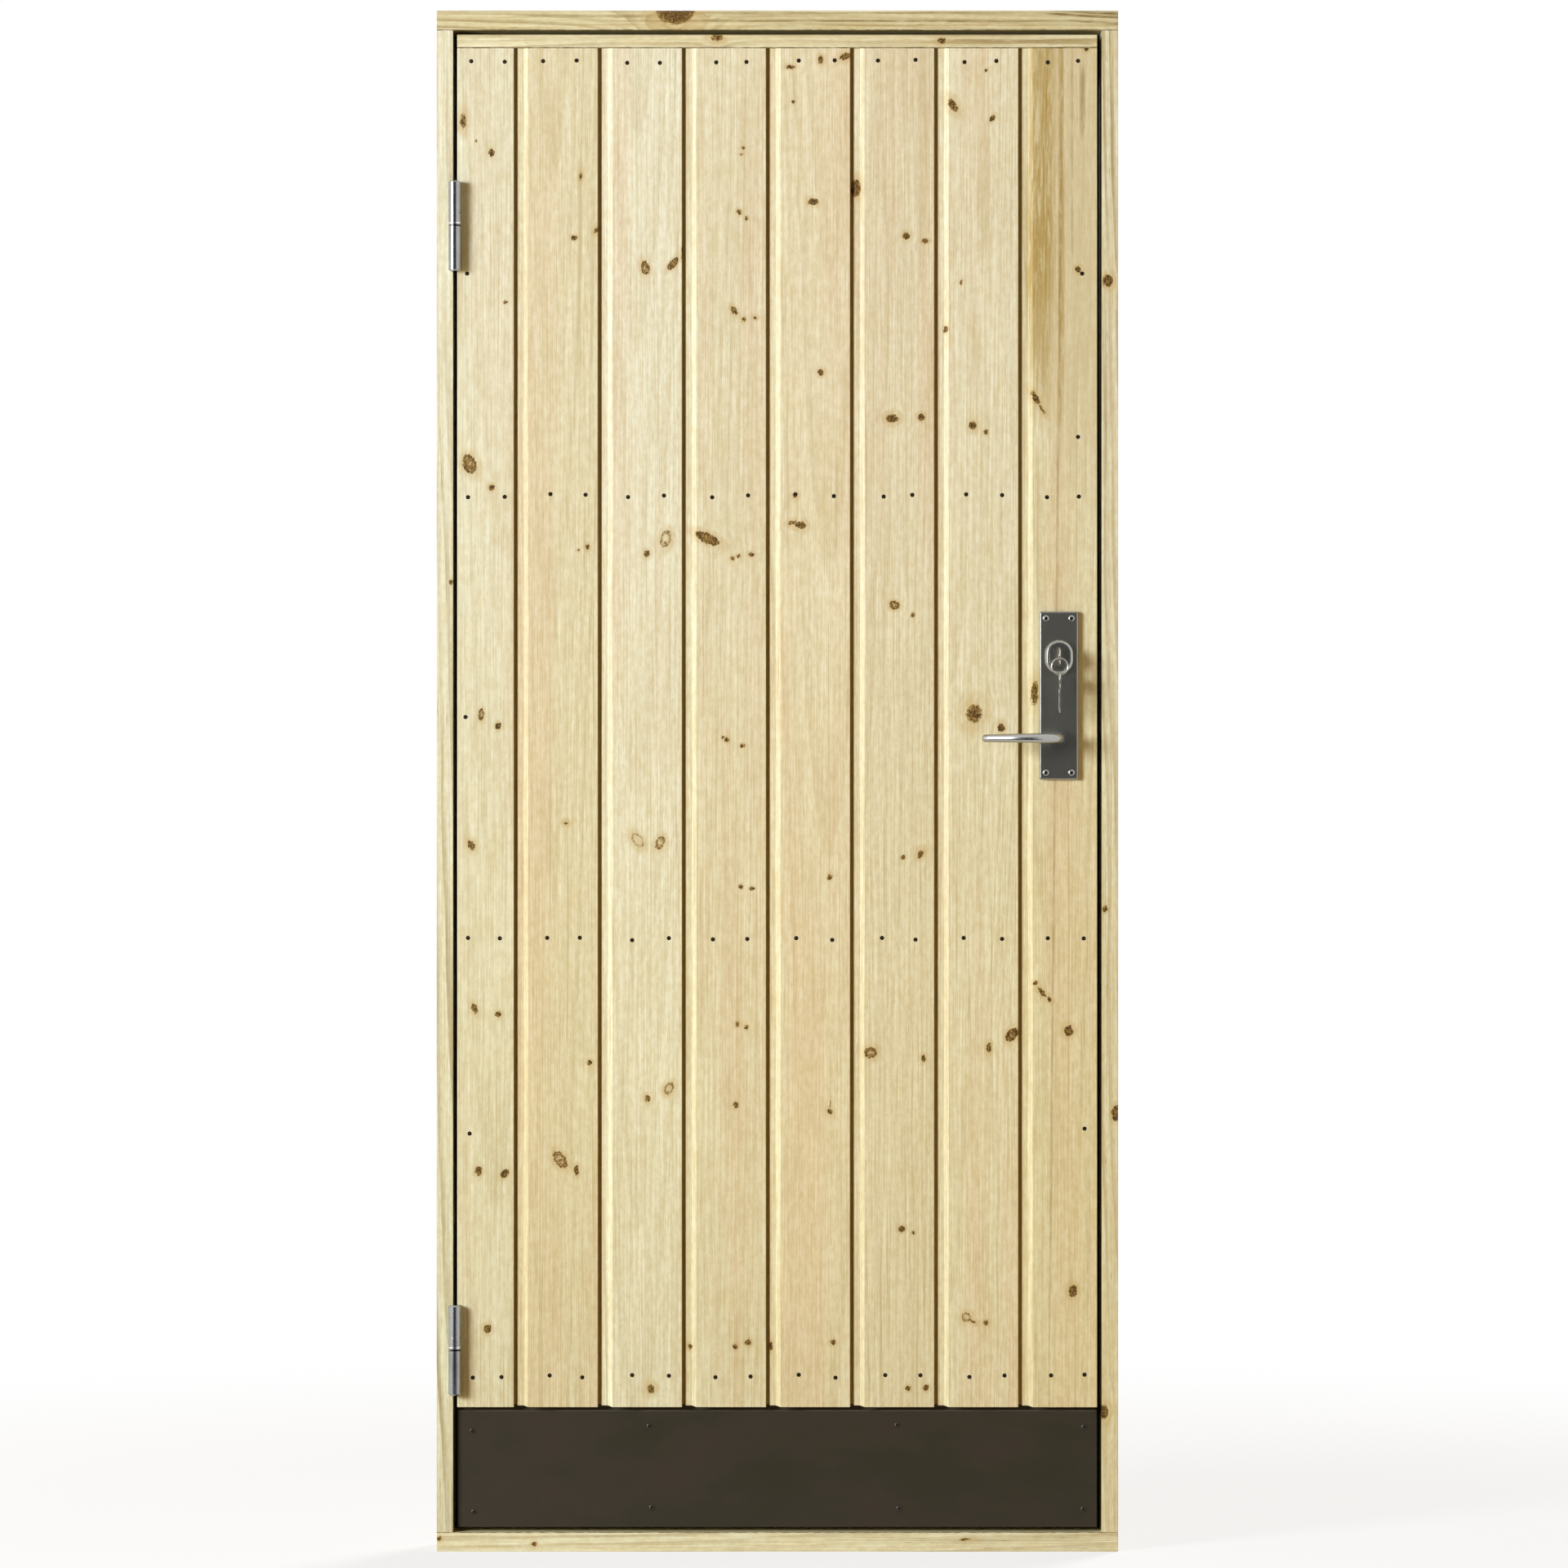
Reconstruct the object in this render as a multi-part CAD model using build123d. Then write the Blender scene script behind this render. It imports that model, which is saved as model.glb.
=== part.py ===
from build123d import *
import os

# Millimetres. The outside of the door faces -Y, +X is to the right seen from outside, +Z is up.
# The origin is the middle of the sill's underside.

# Frame
FRAME_WIDTH = 880.0
FRAME_HEIGHT = 1990.0
FRAME_DEPTH = 92.0
JAMB_FACE = 21.0
SILL_FACE = 25.0
HEAD_FACE = 25.0
STOP_STEP = 15.0
STOP_GAP = 5.5
FIXING_HOLE_RADIUS = 7.0
FIXING_HOLE_FROM_BACK = 58.0
FIXING_UP = 430.0
FIXING_DOWN = 430.0

# Leaf
HINGE_SIDE_GAP = 5.5
LOCK_SIDE_GAP = 6.0
HEAD_GAP = 6.0
SILL_GAP = 5.5
BOARD_THICKNESS = 18.0
RAIL_THICKNESS = 28.0
STILE_WIDTH = 70.0
LOCK_STILE_SETBACK = 2.0

# Rails of the leaf: the upper one is placed from the leaf's top, the others from its foot
RAIL_HEIGHT = 70.0
UPPER_RAIL_DOWN = 595.0
LOWER_RAIL_UP = 760.5
BOTTOM_RAIL_UP = 109.5
BOTTOM_RAIL_HEIGHT = 110.0

# Boards
GROOVE_COUNT = 7
FIRST_BOARD_WIDTH = 73.3
LAST_BOARD_WIDTH = 101.7
GROOVE_WIDTH = 18.5
GROOVE_DEPTH = 5.0
GROOVE_SLOPE = 6.0
ARRIS = 0.6
SHOULDER_GAP = 4.5
TONGUE_LENGTH = 6.0
TONGUE_THICKNESS = 5.5
TONGUE_FROM_BACK = 3.0
TONGUE_CLEARANCE = 0.3
TOP_STRIP_HEIGHT = 17.0
TOP_STRIP_PROUD = 0.6
DRIP_SLOPE = 0.35

# Kick plate
KICK_HEIGHT = 151.5
KICK_GAP = 4.5
KICK_THICKNESS = 9.0

# Lift-off hinges
LOWER_HINGE_UP = 230.5
UPPER_HINGE_DOWN = 248.0
KNUCKLE_LENGTH = 58.0
KNUCKLE_RADIUS = 8.0
KNUCKLE_CHAMFER = 1.6
KNUCKLE_GAP = 1.0
HINGE_AXIS_OUT = 10.0
FLAP_THICKNESS = 3.0
FLAP_DEPTH = 30.0
PIN_RADIUS = 4.5
PIN_CLEARANCE = 0.05
PIN_REACH = 40.0
COLLAR_LINE_UP = 16.0
COLLAR_LINE_WIDTH = 1.2
COLLAR_LINE_DEPTH = 1.0

# Lock set
SPINDLE_Z = 1050.0
CYLINDER_UP = 105.0
BACKSET = 50.0
PLATE_WIDTH = 50.0
PLATE_THICKNESS = 8.0
PLATE_ABOVE_CYLINDER = 59.0
PLATE_BELOW_SPINDLE = 53.0
PLATE_EDGE = 1.5
PLATE_CORNER = 2.5
SPINDLE_SIDE = 8.0
SPINDLE_PLAY = 0.05
NECK_RADIUS = 8.0
NECK_CLEARANCE = 0.05
SPINDLE_BORE_RADIUS = 10.0
CASE_HUB_RADIUS = 7.0
CYLINDER_WIDTH = 24.0
CYLINDER_HEIGHT = 32.0
CYLINDER_PROUD = 10.0
CYLINDER_PLAY = 0.3
CYLINDER_BORE_PLAY = 1.5
RING_WIDTH = 36.0
RING_HEIGHT = 44.0
RING_CHAMFER = 3.0
PLUG_RADIUS = 7.0
PLUG_LINE = 0.4
KEYWAY_PLAY = 0.2

# Lock case, forend and strike
CASE_DEPTH = 63.0
CASE_THICKNESS = 16.0
CASE_LOW = 25.0
CASE_HEIGHT = 165.0
CASE_FROM_BACK = 8.0
FOREND_WIDTH = 22.0
FOREND_THICKNESS = 2.5
FOREND_HEIGHT = 235.0
LATCH_UP = 25.0
LATCH_HEIGHT = 28.0
DEAD_BOLT_UP = 75.0
DEAD_BOLT_HEIGHT = 36.0
BOLT_THICKNESS = 11.0
BOLT_LENGTH = 30.0
STRIKE_THICKNESS = 2.0
STRIKE_MARGIN = 24.0
STRIKE_WINDOW_PLAY = 3.0
STRIKE_POCKET_DEPTH = 5.0

# Lever handles
LEVER_COLLAR_RADIUS = 11.0
LEVER_COLLAR_LENGTH = 8.0
LEVER_COLLAR_GAP = 0.3
LEVER_NECK_RADIUS = 7.5
LEVER_TIP_RADIUS = 5.0
LEVER_REACH = 100.0
LEVER_PROJECTION = 56.0
LEVER_TIP_PROJECTION = 37.0
STUB_LENGTH = 6.0
SOCKET_DEPTH = 16.0

# Keys and ring
KEY_THICKNESS = 2.2
KEY_BLADE_HEIGHT = 8.0
KEY_BLADE_LENGTH = 28.0
KEY_SHANK = 2.0
KEY_CUT_DEPTHS = (1.2, 2.4, 1.6, 2.6, 1.9)
KEY_CUT_PITCH = 4.6
KEY_CUT_FLAT = 1.2
KEY_CUT_SLOPE = 0.6
BOW_RADIUS = 12.0
BOW_HOLE_RADIUS = 3.2
BOW_HOLE_OUT = 5.0
WIRE_RADIUS = 0.9
WIRE_PLAY = 0.1
KEY_RING_RADIUS = 10.5

# Thumb turn
TURN_ROSE_RADIUS = 16.0
TURN_ROSE_HEIGHT = 6.0
TURN_WING_LENGTH = 26.0
TURN_WING_WIDTH = 7.0
TURN_WING_HEIGHT = 16.0
TURN_EDGE = 1.5

# Places that follow from the sizes above
FRONT = -FRAME_DEPTH / 2
BACK = FRAME_DEPTH / 2
OPENING_HALF = FRAME_WIDTH / 2 - JAMB_FACE
STOP_HALF = OPENING_HALF - STOP_STEP
BOARD_BACK = FRONT + BOARD_THICKNESS
LEAF_BACK = BOARD_BACK + RAIL_THICKNESS
STOP_FRONT = LEAF_BACK + STOP_GAP
FIXING_Y = BACK - FIXING_HOLE_FROM_BACK
LEAF_LEFT = -OPENING_HALF + HINGE_SIDE_GAP
LEAF_RIGHT = OPENING_HALF - LOCK_SIDE_GAP
LEAF_LOW = SILL_FACE + SILL_GAP
LEAF_TOP = FRAME_HEIGHT - HEAD_FACE - HEAD_GAP
STILE_RIGHT = LEAF_RIGHT - LOCK_STILE_SETBACK
BOARD_PITCH = (LEAF_RIGHT - LEAF_LEFT - FIRST_BOARD_WIDTH - LAST_BOARD_WIDTH) / (GROOVE_COUNT - 1)
KICK_TOP_Z = LEAF_LOW + KICK_HEIGHT
BOARD_FOOT_Z = KICK_TOP_Z + KICK_GAP
HINGE_LOW_Z = LEAF_LOW + LOWER_HINGE_UP
HINGE_HIGH_Z = LEAF_TOP - UPPER_HINGE_DOWN
FIXING_LOW_Z = FIXING_UP
FIXING_HIGH_Z = FRAME_HEIGHT - FIXING_DOWN
RAIL_LEFT = LEAF_LEFT + STILE_WIDTH
RAIL_RIGHT = STILE_RIGHT - STILE_WIDTH
BOARD_TOP = LEAF_TOP - TOP_STRIP_HEIGHT
HINGE_X = -OPENING_HALF + HINGE_SIDE_GAP / 2
HINGE_Y = FRONT - HINGE_AXIS_OUT
LOCK_X = LEAF_RIGHT - BACKSET
CYLINDER_Z = SPINDLE_Z + CYLINDER_UP
PLATE_LOW = SPINDLE_Z - PLATE_BELOW_SPINDLE
PLATE_TOP = CYLINDER_Z + PLATE_ABOVE_CYLINDER
PLATE_FRONT = FRONT - PLATE_THICKNESS
CASE_BACK = LEAF_BACK - CASE_FROM_BACK
CASE_MIDDLE_Y = CASE_BACK - CASE_THICKNESS / 2
CASE_Z = SPINDLE_Z - CASE_LOW
FOREND_X = STILE_RIGHT - FOREND_THICKNESS
FOREND_Z = CASE_Z + (CASE_HEIGHT - FOREND_HEIGHT) / 2
LATCH_Z = SPINDLE_Z + LATCH_UP
DEAD_BOLT_Z = SPINDLE_Z + DEAD_BOLT_UP
CYLINDER_FRONT = PLATE_FRONT - CYLINDER_PROUD


def block(x0, x1, y0, y1, z0, z1):
    middle = Pos((x0 + x1) / 2, (y0 + y1) / 2, (z0 + z1) / 2)
    return middle * Box(x1 - x0, y1 - y0, z1 - z0)


def upright(points, z0, z1):
    """A plan outline drawn in X and Y, stood up from z0 to z1."""
    outline = Polyline(*points, close=True)
    return Pos(0, 0, z0) * extrude(make_face(outline), z1 - z0)


def rod_along_y(radius, y0, y1, x, z):
    return Pos(x, (y0 + y1) / 2, z) * Rot(90, 0, 0) * Cylinder(radius, y1 - y0)


def rod_along_x(radius, x0, x1, y, z):
    return Pos((x0 + x1) / 2, y, z) * Rot(0, 90, 0) * Cylinder(radius, abs(x1 - x0))


def rod_along_z(radius, z0, z1, x, y):
    return Pos(x, y, (z0 + z1) / 2) * Cylinder(radius, z1 - z0)


def oval_along_y(width, height, y0, y1, x, z):
    """An upright oval with round ends, from y0 to y1."""
    front = Plane(origin=(x, y0, z), x_dir=(0, 0, 1), z_dir=(0, 1, 0))
    return extrude(front * SlotOverall(height, width), y1 - y0)


def jamb(side):
    """One jamb: thin beside the leaf, thicker behind it where it makes the stop."""
    outer = side * FRAME_WIDTH / 2
    face = side * OPENING_HALF
    stop = side * STOP_HALF
    points = [(outer, FRONT), (face, FRONT), (face, STOP_FRONT), (stop, STOP_FRONT), (stop, BACK), (outer, BACK)]
    body = upright(points, SILL_FACE, FRAME_HEIGHT - HEAD_FACE)
    for z in (FIXING_LOW_Z, FIXING_HIGH_Z):
        body -= rod_along_x(FIXING_HOLE_RADIUS, outer, stop, FIXING_Y, z)
    return body


def make_left_jamb():
    body = jamb(-1)
    for z in (HINGE_LOW_Z, HINGE_HIGH_Z):
        body -= block(
            -OPENING_HALF - FLAP_THICKNESS, -OPENING_HALF, FRONT, FRONT + FLAP_DEPTH, z - KNUCKLE_LENGTH, z
        )
    return body


def bolt_window(z, height, x0, x1, play):
    """The space for one bolt in the strike side."""
    half_y = BOLT_THICKNESS / 2 + play
    half_z = height / 2 + play
    return block(x0, x1, CASE_MIDDLE_Y - half_y, CASE_MIDDLE_Y + half_y, z - half_z, z + half_z)


STRIKE_LOW = LATCH_Z - LATCH_HEIGHT / 2 - STRIKE_MARGIN
STRIKE_TOP = DEAD_BOLT_Z + DEAD_BOLT_HEIGHT / 2 + STRIKE_MARGIN
STRIKE_Y0 = CASE_MIDDLE_Y - FOREND_WIDTH / 2
STRIKE_Y1 = CASE_MIDDLE_Y + FOREND_WIDTH / 2


def make_right_jamb():
    body = jamb(1)
    body -= block(OPENING_HALF, OPENING_HALF + STRIKE_THICKNESS, STRIKE_Y0, STRIKE_Y1, STRIKE_LOW, STRIKE_TOP)
    for z, height in ((LATCH_Z, LATCH_HEIGHT), (DEAD_BOLT_Z, DEAD_BOLT_HEIGHT)):
        body -= bolt_window(z, height, OPENING_HALF, OPENING_HALF + STRIKE_POCKET_DEPTH, STRIKE_WINDOW_PLAY)
    return body


def make_strike_plate():
    plate = block(OPENING_HALF, OPENING_HALF + STRIKE_THICKNESS, STRIKE_Y0, STRIKE_Y1, STRIKE_LOW, STRIKE_TOP)
    for z, height in ((LATCH_Z, LATCH_HEIGHT), (DEAD_BOLT_Z, DEAD_BOLT_HEIGHT)):
        plate -= bolt_window(z, height, OPENING_HALF, OPENING_HALF + STRIKE_THICKNESS, STRIKE_WINDOW_PLAY)
    return plate


def make_sill():
    half = FRAME_WIDTH / 2
    body = block(-half, half, FRONT, BACK, 0, SILL_FACE)
    return body + block(-STOP_HALF, STOP_HALF, STOP_FRONT, BACK, SILL_FACE, SILL_FACE + STOP_STEP)


def make_head_jamb():
    half = FRAME_WIDTH / 2
    under = FRAME_HEIGHT - HEAD_FACE
    body = block(-half, half, FRONT, BACK, under, FRAME_HEIGHT)
    return body + block(-STOP_HALF, STOP_HALF, STOP_FRONT, BACK, under - STOP_STEP, under)


def groove_left(number):
    """Left side of a groove between two boards, counted from 0."""
    return LEAF_LEFT + FIRST_BOARD_WIDTH + BOARD_PITCH * number


def board_outline(number):
    """Plan of one board, counted from 0: on its left a tongue, then the floor of the open groove and a
    slope up to its face; on its right the edge with the slot that takes the next board's tongue."""
    first = number == 0
    last = number == GROOVE_COUNT
    right = LEAF_RIGHT if last else groove_left(number)
    slot_back = BOARD_BACK - TONGUE_FROM_BACK
    slot_front = slot_back - TONGUE_THICKNESS
    points = []
    if first:
        points += [(LEAF_LEFT, BOARD_BACK), (LEAF_LEFT, FRONT + ARRIS), (LEAF_LEFT + ARRIS, FRONT)]
    else:
        shoulder = groove_left(number - 1) + SHOULDER_GAP
        tip = groove_left(number - 1) - TONGUE_LENGTH
        face = groove_left(number - 1) + GROOVE_WIDTH
        floor = FRONT + GROOVE_DEPTH
        points += [(shoulder, BOARD_BACK), (shoulder, slot_back), (tip, slot_back), (tip, slot_front)]
        points += [(shoulder, slot_front), (shoulder, floor), (face - GROOVE_SLOPE, floor), (face, FRONT)]
    points += [(right - ARRIS, FRONT), (right, FRONT + ARRIS)]
    if not last:
        depth = TONGUE_LENGTH + TONGUE_CLEARANCE
        points += [(right, slot_front - TONGUE_CLEARANCE), (right - depth, slot_front - TONGUE_CLEARANCE)]
        points += [(right - depth, slot_back + TONGUE_CLEARANCE), (right, slot_back + TONGUE_CLEARANCE)]
    points += [(right, BOARD_BACK)]
    return points


def drip_cut():
    """What the sloping saw cut takes off under the boards, so that their front edge hangs lowest."""
    rise = BOARD_THICKNESS * DRIP_SLOPE
    side = Polyline((FRONT, BOARD_FOOT_Z), (BOARD_BACK, BOARD_FOOT_Z + rise), (BOARD_BACK, BOARD_FOOT_Z), close=True)
    plane = Plane(origin=(LEAF_LEFT - BOARD_THICKNESS, 0, 0), x_dir=(0, 1, 0), z_dir=(1, 0, 0))
    return extrude(plane * make_face(side), LEAF_RIGHT - LEAF_LEFT + 2 * BOARD_THICKNESS)


def leaf_flap_space(z):
    """Room for a hinge flap let into the leaf's edge."""
    return block(LEAF_LEFT, LEAF_LEFT + FLAP_THICKNESS, FRONT, FRONT + FLAP_DEPTH, z + KNUCKLE_GAP, z + KNUCKLE_LENGTH)


def lock_bores(y0, y1):
    """The two bores through the leaf for the spindle and the cylinder."""
    width = CYLINDER_WIDTH + 2 * CYLINDER_BORE_PLAY
    height = CYLINDER_HEIGHT + 2 * CYLINDER_BORE_PLAY
    spindle = rod_along_y(SPINDLE_BORE_RADIUS, y0, y1, LOCK_X, SPINDLE_Z)
    return spindle + oval_along_y(width, height, y0, y1, LOCK_X, CYLINDER_Z)


def make_board(number):
    body = upright(board_outline(number), BOARD_FOOT_Z, BOARD_TOP) - drip_cut()
    if number == 0:
        body -= leaf_flap_space(HINGE_LOW_Z) + leaf_flap_space(HINGE_HIGH_Z)
    if number == GROOVE_COUNT:
        body -= lock_bores(FRONT, BOARD_BACK)
    return body


def make_top_strip():
    return block(LEAF_LEFT, LEAF_RIGHT, FRONT - TOP_STRIP_PROUD, BOARD_BACK, BOARD_TOP, LEAF_TOP)


def make_kick_plate():
    return block(LEAF_LEFT, LEAF_RIGHT, BOARD_BACK - KICK_THICKNESS, BOARD_BACK, LEAF_LOW, KICK_TOP_Z)


def make_hinge_stile():
    body = block(LEAF_LEFT, RAIL_LEFT, BOARD_BACK, LEAF_BACK, LEAF_LOW, LEAF_TOP)
    return body - (leaf_flap_space(HINGE_LOW_Z) + leaf_flap_space(HINGE_HIGH_Z))


def case_body():
    y0 = CASE_BACK - CASE_THICKNESS
    return block(FOREND_X - CASE_DEPTH, FOREND_X, y0, CASE_BACK, CASE_Z, CASE_Z + CASE_HEIGHT)


def forend_body():
    return block(FOREND_X, STILE_RIGHT, STRIKE_Y0, STRIKE_Y1, FOREND_Z, FOREND_Z + FOREND_HEIGHT)


def make_lock_stile():
    body = block(RAIL_RIGHT, STILE_RIGHT, BOARD_BACK, LEAF_BACK, LEAF_LOW, LEAF_TOP)
    return body - case_body() - forend_body() - lock_bores(BOARD_BACK, LEAF_BACK)


def make_rail(z0, z1):
    return block(RAIL_LEFT, RAIL_RIGHT, BOARD_BACK, LEAF_BACK, z0, z1)


def make_bolt(z, height):
    return bolt_window(z, height, STILE_RIGHT - BOLT_LENGTH, STILE_RIGHT, 0)


def make_lock_case():
    body = case_body() + forend_body()
    y0 = CASE_BACK - CASE_THICKNESS
    body -= rod_along_y(CASE_HUB_RADIUS, y0, CASE_BACK, LOCK_X, SPINDLE_Z)
    body -= cylinder_space(y0, CASE_BACK)
    return body - make_bolt(LATCH_Z, LATCH_HEIGHT) - make_bolt(DEAD_BOLT_Z, DEAD_BOLT_HEIGHT)


def cylinder_space(y0, y1):
    """The oval hole that the cylinder sits in, from y0 to y1."""
    width = CYLINDER_WIDTH + 2 * CYLINDER_PLAY
    height = CYLINDER_HEIGHT + 2 * CYLINDER_PLAY
    return oval_along_y(width, height, y0, y1, LOCK_X, CYLINDER_Z)


def spindle_plate():
    """A long plate on the outside, corners rounded and edges eased, bored for the lever's neck."""
    half = PLATE_WIDTH / 2
    plate = block(LOCK_X - half, LOCK_X + half, PLATE_FRONT, FRONT, PLATE_LOW, PLATE_TOP)
    plate = fillet(plate.edges().filter_by(Axis.Y), PLATE_CORNER)
    plate = chamfer(plate.edges().group_by(Axis.Y)[0], PLATE_EDGE)
    return plate - rod_along_y(NECK_RADIUS + NECK_CLEARANCE, PLATE_FRONT, FRONT, LOCK_X, SPINDLE_Z)


def make_outer_plate():
    return spindle_plate() - cylinder_space(PLATE_FRONT, FRONT)


def make_inner_plate():
    return mirror_to_inside(spindle_plate())


def make_cylinder_ring():
    ring = oval_along_y(RING_WIDTH, RING_HEIGHT, CYLINDER_FRONT, PLATE_FRONT, LOCK_X, CYLINDER_Z)
    ring = chamfer(ring.edges().group_by(Axis.Y)[0], RING_CHAMFER)
    return ring - cylinder_space(CYLINDER_FRONT, PLATE_FRONT)


def make_cylinder():
    """The oval cylinder, with the keyway and the line round its plug."""
    body = oval_along_y(CYLINDER_WIDTH, CYLINDER_HEIGHT, CYLINDER_FRONT, CASE_BACK, LOCK_X, CYLINDER_Z)
    line = rod_along_y(PLUG_RADIUS + PLUG_LINE, CYLINDER_FRONT, CYLINDER_FRONT + PLUG_LINE, LOCK_X, CYLINDER_Z)
    line -= rod_along_y(PLUG_RADIUS, CYLINDER_FRONT, CYLINDER_FRONT + PLUG_LINE, LOCK_X, CYLINDER_Z)
    half_w = KEY_THICKNESS / 2 + KEYWAY_PLAY
    half_h = KEY_BLADE_HEIGHT / 2 + KEYWAY_PLAY
    deep = CYLINDER_FRONT + KEY_BLADE_LENGTH + KEYWAY_PLAY
    keyway = block(LOCK_X - half_w, LOCK_X + half_w, CYLINDER_FRONT, deep, CYLINDER_Z - half_h, CYLINDER_Z + half_h)
    return body - line - keyway


BOW_Y = CYLINDER_FRONT - KEY_SHANK - BOW_RADIUS
HOLE_Y = BOW_Y - BOW_HOLE_OUT
WIRE_TOP_Z = CYLINDER_Z - BOW_HOLE_RADIUS + WIRE_RADIUS + WIRE_PLAY
WIRE_LOW_Z = WIRE_TOP_Z - 2 * KEY_RING_RADIUS
SPARE_HOLE_Z = WIRE_LOW_Z + WIRE_RADIUS + WIRE_PLAY - BOW_HOLE_RADIUS
SPARE_BOW_Z = SPARE_HOLE_Z - BOW_HOLE_OUT


def key_blank():
    """A key lying flat: bow round the origin, blade along +X with its cuts on the +Y side."""
    half_h = KEY_BLADE_HEIGHT / 2
    start = BOW_RADIUS + KEY_SHANK
    tip = start + KEY_BLADE_LENGTH
    points = [(0, half_h), (0, -half_h), (tip - half_h, -half_h), (tip, 0), (tip - half_h / 2, half_h)]
    for index in reversed(range(len(KEY_CUT_DEPTHS))):
        middle = start + KEY_CUT_PITCH * (index + 1)
        depth = KEY_CUT_DEPTHS[index]
        half_foot = KEY_CUT_FLAT / 2
        half_mouth = half_foot + depth * KEY_CUT_SLOPE
        points += [(middle + half_mouth, half_h), (middle + half_foot, half_h - depth)]
        points += [(middle - half_foot, half_h - depth), (middle - half_mouth, half_h)]
    flat = make_face(Polyline(*points, close=True)) + Circle(BOW_RADIUS)
    flat -= Pos(-BOW_HOLE_OUT, 0) * Circle(BOW_HOLE_RADIUS)
    return Pos(0, 0, -KEY_THICKNESS / 2) * extrude(flat, KEY_THICKNESS, dir=(0, 0, 1))


def make_key():
    """The key in the lock: blade in the keyway, round bow standing upright in front of it."""
    return Plane(origin=(LOCK_X, BOW_Y, CYLINDER_Z), x_dir=(0, 1, 0), z_dir=(1, 0, 0)) * key_blank()


def make_key_ring():
    middle = (WIRE_TOP_Z + WIRE_LOW_Z) / 2
    return Pos(LOCK_X, HOLE_Y, middle) * Rot(90, 0, 0) * Torus(KEY_RING_RADIUS, WIRE_RADIUS)


def make_spare_key():
    """The second key, hanging from the ring with its blade down."""
    return Plane(origin=(LOCK_X, HOLE_Y, SPARE_BOW_Z), x_dir=(0, 0, -1), z_dir=(1, 0, 0)) * key_blank()


def lever_arm():
    """The bowed tube of the outer lever, from the collar out and round to the tip."""
    start = PLATE_FRONT - LEVER_COLLAR_LENGTH
    out = PLATE_FRONT - LEVER_PROJECTION
    tip_y = PLATE_FRONT - LEVER_TIP_PROJECTION
    turn_x = LOCK_X - 0.36 * LEVER_REACH
    tip_x = LOCK_X - LEVER_REACH + LEVER_TIP_RADIUS
    points = [(LOCK_X, start, SPINDLE_Z), (turn_x, out, SPINDLE_Z), (tip_x, tip_y, SPINDLE_Z)]
    path = Spline(*points, tangents=[(0, -1.6, 0), (-1, 0.55, 0)])
    sections = []
    for step in range(9):
        t = step / 8
        radius = LEVER_NECK_RADIUS + (LEVER_TIP_RADIUS - LEVER_NECK_RADIUS) * t
        plane = Plane(origin=path @ t, z_dir=path % t)
        sections.append(plane * Circle(radius))
    arm = loft(sections)
    return arm + Pos(*(path @ 1)) * Sphere(LEVER_TIP_RADIUS)


def make_outer_lever():
    collar_face = PLATE_FRONT - LEVER_COLLAR_GAP
    collar_out = PLATE_FRONT - LEVER_COLLAR_LENGTH
    lever = lever_arm() + rod_along_y(LEVER_COLLAR_RADIUS, collar_out, collar_face, LOCK_X, SPINDLE_Z)
    lever += rod_along_y(NECK_RADIUS, collar_face, PLATE_FRONT + STUB_LENGTH, LOCK_X, SPINDLE_Z)
    return lever - spindle_space(PLATE_FRONT + STUB_LENGTH - SOCKET_DEPTH, PLATE_FRONT + STUB_LENGTH)


def spindle_space(y0, y1):
    half = SPINDLE_SIDE / 2 + SPINDLE_PLAY
    return block(LOCK_X - half, LOCK_X + half, y0, y1, SPINDLE_Z - half, SPINDLE_Z + half)


def mirror_to_inside(shape):
    """Turns a fitting on the outer plate into the same fitting on the inner plate."""
    middle = (FRONT + LEAF_BACK) / 2
    return mirror(shape, Plane(origin=(0, middle, 0), z_dir=(0, 1, 0)))


def make_spindle():
    half = SPINDLE_SIDE / 2
    y0 = PLATE_FRONT + STUB_LENGTH - SOCKET_DEPTH
    y1 = LEAF_BACK + PLATE_THICKNESS - STUB_LENGTH + SOCKET_DEPTH
    return block(LOCK_X - half, LOCK_X + half, y0, y1, SPINDLE_Z - half, SPINDLE_Z + half)


def make_thumb_turn():
    face = LEAF_BACK + PLATE_THICKNESS
    rose = rod_along_y(TURN_ROSE_RADIUS, face, face + TURN_ROSE_HEIGHT, LOCK_X, CYLINDER_Z)
    rose = chamfer(rose.edges().group_by(Axis.Y)[-1], TURN_EDGE)
    half_l = TURN_WING_LENGTH / 2
    half_w = TURN_WING_WIDTH / 2
    out = face + TURN_ROSE_HEIGHT + TURN_WING_HEIGHT
    wing = block(LOCK_X - half_w, LOCK_X + half_w, face, out, CYLINDER_Z - half_l, CYLINDER_Z + half_l)
    wing = fillet(wing.edges().group_by(Axis.Y)[-1], TURN_EDGE)
    return rose + wing


def make_frame_hinge(z):
    """Frame half: the lower knuckle, its flap and the standing pin."""
    knuckle = rod_along_z(KNUCKLE_RADIUS, z - KNUCKLE_LENGTH, z, HINGE_X, HINGE_Y)
    knuckle = chamfer(knuckle.edges().group_by(Axis.Z)[0], KNUCKLE_CHAMFER)
    flap = block(
        -OPENING_HALF - FLAP_THICKNESS, -OPENING_HALF, HINGE_Y, FRONT + FLAP_DEPTH, z - KNUCKLE_LENGTH, z
    )
    pin = rod_along_z(PIN_RADIUS, z, z + PIN_REACH, HINGE_X, HINGE_Y)
    return knuckle + flap + pin


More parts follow.
